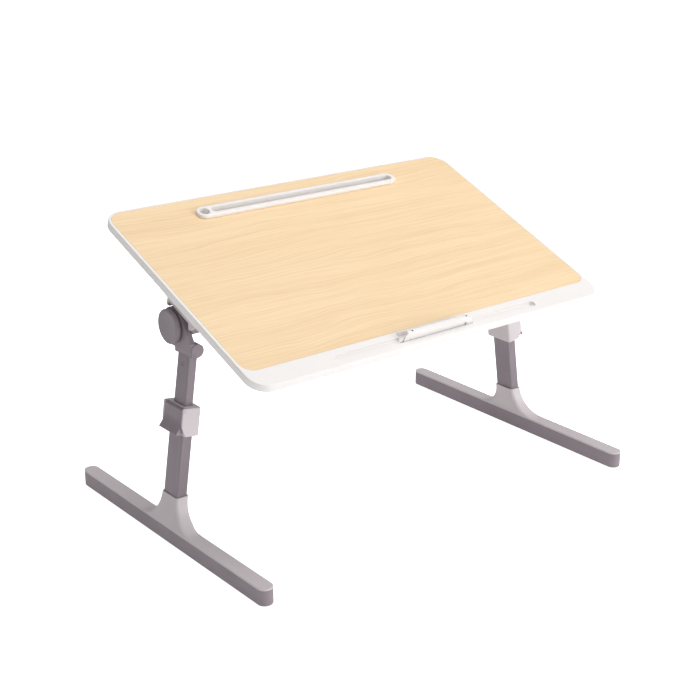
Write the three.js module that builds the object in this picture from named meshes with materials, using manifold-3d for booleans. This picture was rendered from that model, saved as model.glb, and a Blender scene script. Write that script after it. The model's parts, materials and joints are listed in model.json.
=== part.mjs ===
// Folding tray table: a tilting wooden top on two leaning legs with sliding tubes.
// Millimetres. +X right, +Y back, +Z up. The origin is on the floor, midway between the feet.
import * as THREE from 'three';
import { mergeVertices } from 'three/addons/utils/BufferGeometryUtils.js';
import Module from 'manifold-3d';

const wasm = await Module();
wasm.setup();

// ---- Fits -------------------------------------------------------------------------
const CLEAR = 0.3; // gap between pieces that touch
const RUN = 0.4; // gap round a pin, shaft or sliding piece

// ---- Tabletop ---------------------------------------------------------------------
const TOP_WIDTH = 600;
const TOP_DEPTH = 380;
const TOP_THICK = 12;
const TOP_CORNER = 27;
const TOP_TILT = 21.7; // degrees, front edge low
const RIM = 4.5; // white edge beside and behind the wood
const BAND = 31.4; // white band along the front
const PANEL_THICK = 2.6;
const PANEL_CORNER = 17; // front corners of the wood
const LEDGE = 7; // shelf of the frame that the wood lies on
const COVER_THICK = 2.4;
const COVER_INSET = 9;

// ---- Tablet slot ------------------------------------------------------------------
const HOLDER_LENGTH = 350;
const HOLDER_WIDTH = 23.5;
const HOLDER_RISE = 5; // above the wood
const HOLDER_V = 149.5; // from the middle of the top, towards the back
const HOLDER_BRIM = 2.4; // overlap of the brim on the wood
const SLOT_WIDTH = 11;
const SLOT_FLOOR = 6.4; // below the wood
const TROUGH_WALL = 1.8; // under the slot
const SLOT_GAP = 4; // wall between the slot and the round recess
const RECESS_RADIUS = 7.6;
const RECESS_FLOOR = 3.5;

// ---- Pen groove and book stop -----------------------------------------------------
const GROOVE_LENGTH = 351;
const GROOVE_WIDTH = 10.5;
const GROOVE_DEPTH = 4.5;
const POCKET_RIM = 2.2; // wall between the folded stop's pocket and the wood
const STOP_WIDTH = 118;
const STOP_U = -5.4; // middle of the stop, from the middle of the top
const STOP_HEIGHT = 14.6; // from its hinge axis
const STOP_THICK = 2.2;
const STOP_LIP = 3;
const STOP_FOOT = 10; // width of each end leg
const STOP_WINDOW = 3.4; // top of the gap below the bar, above the surface
const STOP_SINK = 2.6; // hinge axis below the surface
const STOP_BARREL = 2; // radius
const STOP_FRONT = 0.8; // gap between the barrel and the front of the pocket
const STOP_CHAMFER = 4;
const POCKET_DEPTH = 7.2;
const POCKET_SPARE = 1; // beside the folded stop
const STOP_PIN = 1; // radius
const STOP_PIN_HOLD = 3; // length of pin inside the frame at each end
const BUMPER_RADIUS = 1.1;
const BUMPER_RISE = 0.5;
const BUMPER_INSET = 12;

// ---- Leg line ---------------------------------------------------------------------
const LEAN = 8.5; // degrees, the tubes lean inwards going up
const AXIS_HEIGHT = 288; // tilt axis above the floor
const AXIS_BACK = 20; // tilt axis behind the tubes
const AXIS_V = 9.1; // tilt axis on the top: from its middle, towards the back
const AXIS_DROP = 44.3; // tilt axis below the underside
const LEG_INSET = 26.7; // tube centre at the tilt axis, from the side of the top

// ---- Fold hinge -------------------------------------------------------------------
const FOLD_IN = 5.3; // fold axis inwards of the tube centre
const FOLD_DROP = 18; // fold axis below the underside
const FOLD_PIN = 3; // radius
const BARREL_RADIUS = 9; // of the housing round the fold pin
const BRACKET_PLATE = 3;
const BRACKET_LENGTH = 92;
const BRACKET_REACH = 41; // plate inwards of the tube centre
const BRACKET_OUT = 13; // outer wall outwards of the tube centre
const BRACKET_WALL = 2.8;
const BRACKET_FRONT = -32.5; // inner face of the front cheek, from the tilt axis
const BRACKET_BACK = 18.6; // inner face of the back cheek
const CHEEK = 4;
const CHEEK_ROUND = 10;
const BRACKET_MID = -11.1; // middle of the plate along Y, from the tilt axis
const BRACKET_CORNER = 4;
const ARCH_GAP = 1; // round the arm's head
const LUG_DROP = 8.5; // pointed lugs below the top of the arch
const LUG_BACK_DROP = 6.5;
const WALL_RISE = 3.5; // wall behind the back lug, above the top of the arch
const SCREW_SIDE_IN = 6.35; // screws from the plate's inner edge, its outer edge and its ends
const SCREW_SIDE_OUT = 9.35;
const SCREW_END = 5.5;
const SCREW_SHANK = 1.9;
const SCREW_HEAD = 3.9;
const SCREW_HEAD_THICK = 1.9;

// ---- Tilt housing, arm and button -------------------------------------------------
const HEAD_RADIUS = 24.5;
const HEAD_THICK = 7.2;
const HOUSING_IN = 13.3; // inner face, inwards of the tube centre
const HOUSING_ROUND = 14.5; // bearing end of the housing
const HOUSING_FRONT_LOW = 7; // housing's lower edge: at its front, under the bearing, at its back
const HOUSING_MID_LOW = -10;
const HOUSING_BACK_DROP = 8;
const FOLD_HEAD = 1.8; // fold pin's head: beyond its shank, and its thickness
const FOLD_HEAD_THICK = 1.6;
const AXLE_RADIUS = 4;
const AXLE_HEAD = 7;
const AXLE_HEAD_THICK = 2.4;
const BUTTON_RADIUS = 23;
const BUTTON_THICK = 6;
const BUTTON_TRAVEL = 2.4;
const BUTTON_EDGE = 1.4;
const BUTTON_FLAT = 6; // flat middle of its face ends this far from its edge
const BUTTON_DOME = 0.5;
const STEM_WALL = 6;
const STEM_HOLLOW = 3; // into the button's disc
const STEM_RADIUS = 15;
const STEM_LENGTH = 4.6;
const BORE_FLOOR = 2.2; // wall between the button's bore and the housing
const GEAR_RADIUS = 12;
const GEAR_TOOTH = 1.6;
const GEAR_TEETH = 10;
const GEAR_REACH = 2.4; // into the housing
const SPRING_RADIUS = 6.4;
const SPRING_WIRE = 0.6;
const SPRING_TURNS = 3;
const SPRING_STEPS = 10; // along each turn
const ARM_CHEEK = 6.3; // arm's foot beyond the sliding tube, along Y
const ARM_DROP = 16.5; // top of the arm's foot below the tilt axis
const ARM_ROUND = 9.2;
const ARM_ROUND_IN = -3; // centre of its round inner edge, inwards of the tube centre
const NECK_RISE = 8; // neck's lower edge above the sliding tube
const NECK_TOP = -2; // its front upper corner, from the tilt axis
const NECK_SLOPE = 9;
const FOOT_SLOPE = 4; // outer lower edge of the arm's foot above the tube, at each end of its slope
const FOOT_SLOPE_TOP = 14;
const FOOT_BACK = 20; // top of the foot behind the head, above the tube
const PLUG_LENGTH = 24;
const RIVET_RADIUS = 2.4;
const RIVET_SINK = 0.1; // below the tube's face

// ---- Tubes ------------------------------------------------------------------------
const OUTER_DEEP = 32.8; // along Y
const OUTER_THICK = 15.8;
const TUBE_WALL = 1.2;
const TUBE_CORNER = 2.2;
const SLIDE_DEEP = 1.5; // slack of the sliding tube along Y, each side
const SLIDE_THICK = 0.3; // and across it
const ARM_TALL = 35.5; // sliding tube's upper end below the tilt axis
const INNER_FOOT = 96; // height of its lower end
const GLIDE_HEAD = 6;
const GLIDE_STEM = 14; // inside the sliding tube
const PLUG_CORNER = 1;
const OUTER_SEAT = 6.6; // outer tube's lower end above the foot

// ---- Height clamp -----------------------------------------------------------------
const COLLAR_LOW = 150.5;
const COLLAR_TOP = 188;
const COLLAR_OUT_WALL = 1.4; // round the outer tube: outwards, inwards and at each end
const COLLAR_IN_WALL = 4.2;
const COLLAR_END_WALL = 7.3;
const COLLAR_CORNER = 3;
const COLLAR_LIP = 5; // the collar's cap above the outer tube
const LEVER_PIN_REACH = 2.8; // lever pin, outwards of the collar's outer face
const LEVER_PIN_DROP = 4; // below the collar's top
const LEVER_PIN_RADIUS = 1;
const LEVER_BARREL = 2.2;
const LEVER_THICK = 3.4;
const LEVER_SIDE = 0.6; // gap between the lever and each ear
const LEVER_LENGTH = 32; // from its pin to its lower end
const LEVER_BEND = 17; // where its lower end starts to curl
const LEVER_FLARE = 8.5; // how far its lower end stands out
const LEVER_PROUD = 0.4; // its plate beyond the barrel's flat
const LEVER_TIP = 3; // rounding of its lower end
const EAR_THICK = 2.8;
const EAR_RISE = 1; // ears start this far above the collar's lower end
const PAD_DEEP = 14;
const PAD_TALL = 9;
const PAD_DROP = 20; // middle of the pad below the collar's top

// ---- Feet -------------------------------------------------------------------------
const FOOT_LENGTH = 446.8;
const FOOT_WIDTH = 21.2;
const FOOT_HEIGHT = 25.4;
const FOOT_OFFSET = 1.1; // foot's centre line outwards of the tube centre
const CAP_THICK = 2.4;
const FOOT_GROUND = 1.5; // underside of the bar above the floor
const FLARE_RISE = 40.1; // above the cap
const FLARE_CHEEK = 1.9; // wall in front of the tube and behind it
const FLARE_FOOT = 62; // half its length along Y where it meets the cap
const FLARE_WALL = 1.5;
const FLARE_STEPS = 7;
const RUBBER_LENGTH = 42;
const RUBBER_WIDTH = 15;
const RUBBER_THICK = 3.2;
const RUBBER_END = 24; // its outer end, from the end of the foot
const FOOT_SCREW_RADIUS = 2.2;
const FOOT_SCREW_HEAD = 4.4;
const FOOT_SCREW_SINK = 6; // depth of its head's recess from the floor
const FOOT_SCREW_LOW = 2.6;
const FOOT_SCREW_BITE = 4.5; // into the flare above the cap

// ---- Worked out -------------------------------------------------------------------
const rad = THREE.MathUtils.degToRad;
const lean = rad(LEAN);
const tilt = rad(TOP_TILT);
const legX = TOP_WIDTH / 2 - LEG_INSET; // tube centre at the tilt axis, from the middle
const axisW = -TOP_THICK - AXIS_DROP;
const topY = AXIS_BACK - AXIS_V * Math.cos(tilt) + axisW * Math.sin(tilt);
const topZ = AXIS_HEIGHT - AXIS_V * Math.sin(tilt) - axisW * Math.cos(tilt);
const foldZ = AXIS_DROP - FOLD_DROP; // fold axis above the tilt axis, square to the top
const headIn = -BRACKET_OUT + HEAD_THICK; // inner face of the arm's round head
const housingOut = headIn + CLEAR;
const buttonIn = -BRACKET_OUT - BUTTON_TRAVEL - CLEAR; // back of the button's disc
const outerBoreDeep = OUTER_DEEP - 2 * TUBE_WALL;
const outerBoreThick = OUTER_THICK - 2 * TUBE_WALL;
const innerDeep = outerBoreDeep - 2 * SLIDE_DEEP;
const innerThick = outerBoreThick - 2 * SLIDE_THICK;
const innerBoreDeep = innerDeep - 2 * TUBE_WALL;
const innerBoreThick = innerThick - 2 * TUBE_WALL;
const innerTop = AXIS_HEIGHT - ARM_TALL;
const outerFoot = FOOT_HEIGHT + OUTER_SEAT;
const armHalf = innerDeep / 2 + ARM_CHEEK;
const collarOut = OUTER_THICK / 2 + CLEAR + COLLAR_OUT_WALL;
const collarIn = OUTER_THICK / 2 + CLEAR + COLLAR_IN_WALL;
const collarHalf = OUTER_DEEP / 2 + CLEAR + COLLAR_END_WALL;
const leverPinOut = collarOut + LEVER_PIN_REACH;
const leverHalf = collarHalf - EAR_THICK - LEVER_SIDE;
const flareTop = FOOT_HEIGHT + FLARE_RISE;
const flareTopHalf = OUTER_DEEP / 2 + CLEAR + FLARE_CHEEK;
const footShift = (AXIS_HEIGHT - FOOT_HEIGHT / 2) * Math.tan(lean) + FOOT_OFFSET;
const stopReach = Math.hypot(STOP_HEIGHT + CLEAR + BUMPER_RISE, STOP_THICK / 2 + STOP_LIP);
const pocketBack = -TOP_DEPTH / 2 + BAND - POCKET_RIM;
const stopV = pocketBack - CLEAR - stopReach; // the stop swings down inside the pocket
const pocketFront = stopV - STOP_BARREL - STOP_FRONT;
const grooveV = pocketFront + GROOVE_WIDTH / 2;

// Place along a leg, measured from the tilt axis, of a height above the floor.
const along = (height) => (height - AXIS_HEIGHT) / Math.cos(lean);

// ---- Solids -----------------------------------------------------------------------
function solid(geometry) {
  const bare = geometry.clone();
  bare.deleteAttribute('normal');
  bare.deleteAttribute('uv');
  const merged = mergeVertices(bare, 1e-4);
  return new wasm.Manifold(new wasm.Mesh({
    numProp: 3,
    vertProperties: new Float32Array(merged.attributes.position.array),
    triVerts: new Uint32Array(merged.index.array),
  }));
}

function toGeometry(manifold) {
  const mesh = manifold.getMesh();
  const geometry = new THREE.BufferGeometry();
  geometry.setAttribute('position', new THREE.BufferAttribute(mesh.vertProperties, 3));
  geometry.setIndex(new THREE.BufferAttribute(mesh.triVerts, 1));
  return geometry;
}

const joined = (...pieces) => toGeometry(pieces.map(solid).reduce((a, b) => a.add(b)));

const cut = (body, ...tools) =>
  toGeometry(tools.map(solid).reduce((a, b) => a.subtract(b), solid(body)));

function box(x0, x1, y0, y1, z0, z1) {
  return new THREE.BoxGeometry(x1 - x0, y1 - y0, z1 - z0)
    .translate((x0 + x1) / 2, (y0 + y1) / 2, (z0 + z1) / 2);
}

function roundedRect(width, height, radius) {
  const shape = new THREE.Shape();
  const [x, y] = [width / 2, height / 2];
  shape.moveTo(-x + radius, -y);
  shape.absarc(x - radius, -y + radius, radius, -Math.PI / 2, 0);
  shape.absarc(x - radius, y - radius, radius, 0, Math.PI / 2);
  shape.absarc(-x + radius, y - radius, radius, Math.PI / 2, Math.PI);
  shape.absarc(-x + radius, -y + radius, radius, Math.PI, 1.5 * Math.PI);
  return shape;
}

// A plate of a flat outline between two heights.
function plate(shape, z0, z1, segments = 6) {
  const options = { depth: z1 - z0, bevelEnabled: false, curveSegments: segments };
  return new THREE.ExtrudeGeometry(shape, options).translate(0, 0, z0);
}

const block = (width, height, radius, z0, z1, segments = 2) =>
  plate(roundedRect(width, height, radius), z0, z1, segments);

// A stadium lies along its first size.
const stadium = (length, width, z0, z1, segments = 5) =>
  plate(roundedRect(length, width, width / 2 - 0.001), z0, z1, segments);

function outline(points) {
  return new THREE.Shape(points.map(([x, y]) => new THREE.Vector2(x, y)));
}

// An outline in Y and Z, extruded along X.
function sideways(shape, x0, x1, segments = 10) {
  const turn = new THREE.Matrix4().set(0, 0, 1, 0, 1, 0, 0, 0, 0, 1, 0, 0, 0, 0, 0, 1);
  return plate(shape, x0, x1, segments).applyMatrix4(turn);
}

// An outline in X and Z, extruded along Y.
function endways(shape, y0, y1, segments = 10) {
  return plate(shape, -y1, -y0, segments).rotateX(Math.PI / 2);
}

function disc(radius, z0, z1, segments = 20) {
  return new THREE.CylinderGeometry(radius, radius, z1 - z0, segments)
    .rotateX(Math.PI / 2)
    .translate(0, 0, (z0 + z1) / 2);
}

const rodX = (radius, x0, x1, segments = 16) =>
  disc(radius, x0, x1, segments).rotateY(Math.PI / 2);

const rodY = (radius, y0, y1, segments = 16) =>
  disc(radius, -y1, -y0, segments).rotateX(Math.PI / 2);

function tube(deep, thick, wall, corner, z0, z1) {
  const bore = block(thick - 2 * wall, deep - 2 * wall, corner - wall, z0 - 1, z1 + 1);
  return cut(block(thick, deep, corner, z0, z1), bore);
}

// ---- Materials --------------------------------------------------------------------
const finish = (name, color, roughness, metalness = 0) =>
  new THREE.MeshStandardMaterial({ name, color, roughness, metalness });

const FINISHES = {
  white: () => finish('white_plastic', 0xeee9e6, 0.42),
  wood: () => finish('light_maple', 0xf2d6ac, 0.5),
  board: () => finish('fibreboard', 0xb79a76, 0.85),
  greige: () => finish('greige_plastic', 0xc8bfc3, 0.5),
  taupe: () => finish('taupe_plastic', 0x86797f, 0.5),
  tube: () => finish('taupe_aluminium', 0x8c8087, 0.38, 0.6),
  steel: () => finish('zinc_steel', 0xb9bcc0, 0.35, 1),
  rubber: () => finish('dark_rubber', 0x2e2b2d, 0.9),
  nylon: () => finish('black_nylon', 0x242326, 0.6),
};

function piece(name, geometry, look) {
  const mesh = new THREE.Mesh(geometry, FINISHES[look]());
  mesh.name = name;
  return mesh;
}

// ---- Tabletop pieces: u = X, v = Y towards the back, w = Z up from the surface ------
const panelWidth = TOP_WIDTH - 2 * RIM;
const panelDepth = TOP_DEPTH - BAND - RIM;
const panelV = (BAND - RIM) / 2;

// The wood's outline: wide corners in front, the frame's own corners less the rim behind.
function panelShape(grow) {
  const [x, y] = [panelWidth / 2 + grow, panelDepth / 2 + grow];
  const front = PANEL_CORNER + grow;
  const back = TOP_CORNER - RIM + grow;
  const shape = new THREE.Shape();
  shape.moveTo(-x + front, -y);
  shape.absarc(x - front, -y + front, front, -Math.PI / 2, 0);
  shape.absarc(x - back, y - back, back, 0, Math.PI / 2);
  shape.absarc(-x + back, y - back, back, Math.PI / 2, Math.PI);
  shape.absarc(-x + front, -y + front, front, Math.PI, 1.5 * Math.PI);
  return shape;
}

const panelPlate = (grow, z0, z1) => plate(panelShape(grow), z0, z1, 6).translate(0, panelV, 0);

// The hole that the tablet slot's trough goes through.
const holderHole = (grow) =>
  stadium(HOLDER_LENGTH - 2 * HOLDER_BRIM + 2 * grow, HOLDER_WIDTH - 2 * HOLDER_BRIM + 2 * grow,
    -TOP_THICK, 1).translate(0, HOLDER_V, 0);

const pocketHalf = STOP_WIDTH / 2 + POCKET_SPARE;

function tabletopFrame() {
  const outer = block(TOP_WIDTH, TOP_DEPTH, TOP_CORNER, -TOP_THICK, 0, 8);
  const cover = block(TOP_WIDTH - 2 * COVER_INSET + 2 * CLEAR, TOP_DEPTH - 2 * COVER_INSET + 2 * CLEAR,
    TOP_CORNER - COVER_INSET, -TOP_THICK - 1, -TOP_THICK + COVER_THICK + CLEAR, 4);
  const groove = stadium(GROOVE_LENGTH, GROOVE_WIDTH, -GROOVE_DEPTH, 1).translate(0, grooveV, 0);
  const pocket = box(STOP_U - pocketHalf, STOP_U + pocketHalf, pocketFront,
    pocketBack, -POCKET_DEPTH, 1);
  const pinHalf = pocketHalf + STOP_PIN_HOLD + RUN;
  const pinHole = rodX(STOP_PIN + CLEAR, STOP_U - pinHalf, STOP_U + pinHalf, 12)
    .translate(0, stopV, -STOP_SINK);
  return cut(outer, panelPlate(CLEAR, -PANEL_THICK - CLEAR, 1), panelPlate(-LEDGE, -TOP_THICK - 1, 1),
    cover, groove, pocket, pinHole);
}

function woodPanel() {
  return cut(panelPlate(0, -PANEL_THICK, 0), holderHole(CLEAR));
}

function coreBoard() {
  const low = -TOP_THICK + COVER_THICK + 2 * CLEAR;
  return cut(panelPlate(-LEDGE - CLEAR, low, -PANEL_THICK - 2 * CLEAR), holderHole(CLEAR));
}

function bottomCover() {
  return block(TOP_WIDTH - 2 * COVER_INSET, TOP_DEPTH - 2 * COVER_INSET, TOP_CORNER - COVER_INSET,
    -TOP_THICK, -TOP_THICK + COVER_THICK, 4);
}

const holderEnd = HOLDER_LENGTH / 2 - HOLDER_WIDTH / 2; // centre of its round ends

function slotHolder() {
  const brim = stadium(HOLDER_LENGTH, HOLDER_WIDTH, CLEAR, HOLDER_RISE, 6).translate(0, HOLDER_V, 0);
  const trough = stadium(HOLDER_LENGTH - 2 * HOLDER_BRIM, HOLDER_WIDTH - 2 * HOLDER_BRIM,
    -SLOT_FLOOR - TROUGH_WALL, CLEAR + 0.5).translate(0, HOLDER_V, 0);
  const left = -holderEnd + RECESS_RADIUS + SLOT_GAP;
  const right = holderEnd + SLOT_WIDTH / 2;
  const slot = stadium(right - left, SLOT_WIDTH, -SLOT_FLOOR, HOLDER_RISE + 1)
    .translate((left + right) / 2, HOLDER_V, 0);
  const recess = disc(RECESS_RADIUS, -RECESS_FLOOR, HOLDER_RISE + 1)
    .translate(-holderEnd, HOLDER_V, 0);
  return cut(joined(brim, trough), slot, recess);
}

// The stop's face, seen from the front: two legs, a bar and chamfered upper corners.
function stopFace() {
  const half = STOP_WIDTH / 2;
  const top = STOP_HEIGHT;
  const window = STOP_SINK + STOP_WINDOW;
  const inner = half - STOP_FOOT;
  return outline([[-half, 0], [-inner, 0], [-inner, window], [inner, window], [inner, 0], [half, 0],
    [half, top - STOP_CHAMFER * 1.6], [half - STOP_CHAMFER, top], [-half + STOP_CHAMFER, top],
    [-half, top - STOP_CHAMFER * 1.6]]);
}

function bookStop() {
  const half = STOP_WIDTH / 2;
  const inner = half - STOP_FOOT;
  const face = endways(stopFace(), -STOP_THICK / 2, STOP_THICK / 2);
  const lipHalf = half - STOP_CHAMFER;
  const lip = box(-lipHalf, lipHalf, 0, STOP_THICK / 2 + STOP_LIP, STOP_HEIGHT - 2, STOP_HEIGHT);
  const knuckles = [-1, 1].map((s) => rodX(STOP_BARREL, Math.min(s * inner, s * half),
    Math.max(s * inner, s * half), 16));
  const bore = rodX(STOP_PIN + CLEAR, -half - 1, half + 1, 12);
  return cut(joined(face, lip, ...knuckles), bore).translate(STOP_U, stopV, -STOP_SINK);
}

function stopPin() {
  const half = pocketHalf + STOP_PIN_HOLD;
  return rodX(STOP_PIN, -half, half, 12).translate(STOP_U, stopV, -STOP_SINK);
}

function stopBumper(side) {
  const low = STOP_HEIGHT - STOP_SINK + CLEAR;
  return disc(BUMPER_RADIUS, low, low + BUMPER_RISE, 12)
    .translate(STOP_U + side * (STOP_WIDTH / 2 - BUMPER_INSET), stopV + STOP_LIP / 2, 0);
}

function tabletop() {
  const top = new THREE.Group();
  top.position.set(0, topY, topZ);
  top.rotation.x = tilt;
  top.add(
    piece('tabletop_frame', tabletopFrame(), 'white'),
    piece('wood_panel', woodPanel(), 'wood'),
    piece('core_board', coreBoard(), 'board'),
    piece('bottom_cover', bottomCover(), 'white'),
    piece('slot_holder', slotHolder(), 'white'),
    piece('book_stop', bookStop(), 'white'),
    piece('stop_pin', stopPin(), 'steel'),
    piece('stop_bumper_left', stopBumper(-1), 'rubber'),
    piece('stop_bumper_right', stopBumper(1), 'rubber'),
  );
  return top;
}

// ---- Hinge pieces on the top: origin on the tilt axis, -X outwards, Z square to the top
const plateTop = AXIS_DROP - CLEAR;
const plateLow = plateTop - BRACKET_PLATE;
const plateMid = BRACKET_MID;
const screwPlaces = [-BRACKET_OUT + SCREW_SIDE_OUT, BRACKET_REACH - SCREW_SIDE_IN]
  .flatMap((x) => [-1, 1].map((y) => [x, plateMid + y * (BRACKET_LENGTH / 2 - SCREW_END)]));

// Outer wall of the bracket, seen from the side, before its arch is cut.
function bracketSide() {
  const front = plateMid - BRACKET_LENGTH / 2;
  const back = plateMid + BRACKET_LENGTH / 2;
  const wallLow = HEAD_RADIUS + ARCH_GAP;
  const tip = wallLow - LUG_DROP;
  const backTip = wallLow - LUG_BACK_DROP;
  const backLow = wallLow + WALL_RISE;
  return outline([[front + 2, plateTop], [BRACKET_FRONT - CHEEK, tip + 1.5], [BRACKET_FRONT, tip],
    [BRACKET_FRONT + 3, wallLow], [BRACKET_BACK, wallLow], [BRACKET_BACK, backTip],
    [BRACKET_BACK + CHEEK, backTip], [BRACKET_BACK + CHEEK, backLow],
    [back - BRACKET_CORNER, backLow], [back - 1, plateTop]]);
}

// A cheek holds one end of the fold pin: square outside, round at its inner lower end.
function cheek(y0) {
  const low = foldZ - CHEEK_ROUND;
  const flat = box(-BRACKET_OUT, FOLD_IN, y0, y0 + CHEEK, low, plateTop);
  const inner = box(FOLD_IN - 1, FOLD_IN + CHEEK_ROUND, y0, y0 + CHEEK, foldZ, plateTop);
  return [flat, inner, rodY(CHEEK_ROUND, y0, y0 + CHEEK, 20).translate(FOLD_IN, 0, foldZ)];
}

function hingeBracket() {
  const flange = block(BRACKET_REACH + BRACKET_OUT, BRACKET_LENGTH, BRACKET_CORNER, plateLow, plateTop)
    .translate((BRACKET_REACH - BRACKET_OUT) / 2, plateMid, 0);
  const wall = sideways(bracketSide(), -BRACKET_OUT, -BRACKET_OUT + BRACKET_WALL);
  const body = joined(flange, wall, ...cheek(BRACKET_FRONT - CHEEK), ...cheek(BRACKET_BACK));
  const arch = rodX(HEAD_RADIUS + ARCH_GAP, -BRACKET_OUT - 1, headIn + 0.2, 32);
  const pinHole = rodY(FOLD_PIN + CLEAR, BRACKET_FRONT - CHEEK - 1, BRACKET_BACK + CHEEK + 1)
    .translate(FOLD_IN, 0, foldZ);
  const screwHoles = screwPlaces.map(([x, y]) =>
    disc(SCREW_SHANK + CLEAR, plateLow - 1, plateTop + 1, 16).translate(x, y, 0));
  return cut(body, arch, pinHole, ...screwHoles);
}

function bracketScrew([x, y]) {
  const low = plateLow - CLEAR - SCREW_HEAD_THICK;
  const head = new THREE.CylinderGeometry(SCREW_HEAD, SCREW_HEAD - 1.2, SCREW_HEAD_THICK, 18)
    .rotateX(Math.PI / 2).translate(0, 0, low + SCREW_HEAD_THICK / 2);
  const shank = disc(SCREW_SHANK, low + 0.5, AXIS_DROP - CLEAR, 14);
  return joined(head, shank).translate(x, y, 0);
}

function foldPin() {
  const front = BRACKET_FRONT - CHEEK;
  const pin = rodY(FOLD_PIN, front, BRACKET_BACK + CHEEK + FOLD_HEAD_THICK);
  const head = rodY(FOLD_PIN + FOLD_HEAD, front - CLEAR - FOLD_HEAD_THICK, front - CLEAR);
  const neck = rodY(FOLD_PIN, front - 1, front + 1);
  return joined(pin, head, neck).translate(FOLD_IN, 0, foldZ);
}

// The housing swings on the fold pin and carries the tilt axle.
function hingeHousing() {
  const front = BRACKET_FRONT + RUN;
  const back = BRACKET_BACK - RUN;
  const barrel = rodY(BARREL_RADIUS, front, back, 20).translate(FOLD_IN, 0, foldZ);
  const side = outline([[front, foldZ], [front, HOUSING_FRONT_LOW],
    [-HOUSING_ROUND, HOUSING_MID_LOW / 2], [0, HOUSING_MID_LOW],
    [HOUSING_ROUND, 0], [back, foldZ - HOUSING_BACK_DROP], [back, foldZ]]);
  const body = sideways(side, housingOut, HOUSING_IN);
  const shoulder = box(housingOut - 1, FOLD_IN - BARREL_RADIUS - 0.5, front - 1, back + 1,
    HEAD_RADIUS - 5, foldZ + 1);
  const bearing = rodX(HOUSING_ROUND, housingOut, HOUSING_IN, 24);
  const pinBore = rodY(FOLD_PIN + CLEAR, front - 1, back + 1).translate(FOLD_IN, 0, foldZ);
  const axleBore = rodX(AXLE_RADIUS + CLEAR, housingOut - 1, HOUSING_IN + 1);
  const gearPocket = rodX(GEAR_RADIUS + RUN, housingOut - 1, housingOut + GEAR_REACH + CLEAR, 24);
  const innerCut = box(FOLD_IN, HOUSING_IN + 1, front - 1, back + 1, foldZ, foldZ + 20);
  return cut(joined(cut(body, shoulder, innerCut), bearing, barrel), pinBore, axleBore, gearPocket);
}

function tiltAxle() {
  const far = HOUSING_IN + CLEAR + AXLE_HEAD_THICK;
  const shaft = rodX(AXLE_RADIUS, headIn - BORE_FLOOR - 1.5, far - 0.5);
  return joined(shaft, rodX(AXLE_HEAD, far - AXLE_HEAD_THICK, far, 6));
}

function hingeOnTop() {
  const hinge = new THREE.Group();
  hinge.position.set(-legX, AXIS_V, axisW);
  hinge.add(
    piece('hinge_bracket_left', hingeBracket(), 'greige'),
    piece('fold_pin_left', foldPin(), 'steel'),
    piece('hinge_housing_left', hingeHousing(), 'taupe'),
    piece('tilt_axle_left', tiltAxle(), 'steel'),
    ...screwPlaces.map((place, i) => piece(`bracket_screw_left_${i + 1}`, bracketScrew(place), 'steel')),
  );
  return hinge;
}

// ---- Arm and button: origin on the tilt axis, -X outwards, Z up -----------------------
function gearShape(grow) {
  const points = [];
  for (let i = 0; i < GEAR_TEETH * 4; i += 1) {
    const angle = (i / (GEAR_TEETH * 4)) * 2 * Math.PI;
    const radius = (i % 4 < 2 ? GEAR_RADIUS : GEAR_RADIUS - GEAR_TOOTH) + grow;
    points.push([radius * Math.cos(angle), radius * Math.sin(angle)]);
  }
  return outline(points);
}

// A piece built along the leaning leg line, given in the arm's frame.
const leaning = (geometry) => geometry.rotateY(lean).translate(0, -AXIS_BACK, 0);

function tiltArm() {
  const out = -BRACKET_OUT;
  const low = innerTop - AXIS_HEIGHT + CLEAR; // just above the sliding tube
  const high = -ARM_DROP; // under the housing
  const head = rodX(HEAD_RADIUS, out, headIn, 32);
  const neckShape = outline([[-AXIS_BACK - armHalf, low + NECK_RISE], [0.4 * armHalf, low + NECK_RISE],
    [HEAD_RADIUS * 0.6, -HEAD_RADIUS * 0.7], [0, 0], [-HEAD_RADIUS * 0.8, HEAD_RADIUS * 0.55],
    [-AXIS_BACK - armHalf + NECK_SLOPE, NECK_TOP], [-AXIS_BACK - armHalf, high]]);
  const neck = sideways(neckShape, out, headIn);
  const tubeOut = low * Math.tan(lean) - innerThick / 2;
  const under = (x) => low + (low * Math.tan(lean) - x) * Math.tan(lean); // square to the tube
  const foot = endways(outline([[out, low + FOOT_SLOPE_TOP], [tubeOut, low + FOOT_SLOPE],
    [tubeOut, under(tubeOut)], [ARM_ROUND_IN, under(ARM_ROUND_IN)], [ARM_ROUND_IN, high],
    [headIn - 0.1, high], [headIn - 0.1, low + FOOT_BACK], [out, low + FOOT_BACK]]),
  -AXIS_BACK - armHalf, -AXIS_BACK + armHalf);
  const round = rodY(ARM_ROUND, -AXIS_BACK - armHalf - 0.8, -AXIS_BACK + armHalf, 24)
    .translate(ARM_ROUND_IN, 0, low + ARM_ROUND + CLEAR);
  const plug = leaning(block(innerBoreThick - 2 * CLEAR, innerBoreDeep - 2 * CLEAR, PLUG_CORNER,
    along(innerTop) - PLUG_LENGTH, along(innerTop) + 6));
  const bore = rodX(STEM_RADIUS + RUN, out - 1, headIn - BORE_FLOOR, 24);
  const axleBore = rodX(AXLE_RADIUS + CLEAR, out - 1, headIn + 1);
  const gearBore = sideways(gearShape(CLEAR), headIn - BORE_FLOOR - 0.5, headIn + 1);
  const rivetBore = leaning(rodX(RIVET_RADIUS + CLEAR, -20, 20, 16)
    .translate(0, 0, along(innerTop) - PLUG_LENGTH / 2));
  return cut(joined(head, neck, foot, round, plug), bore, axleBore, gearBore, rivetBore);
}

function tiltGear() {
  const gear = sideways(gearShape(0), headIn - BORE_FLOOR + CLEAR, headIn + GEAR_REACH);
  return cut(gear, rodX(AXLE_RADIUS + CLEAR, -30, 10));
}

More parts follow.
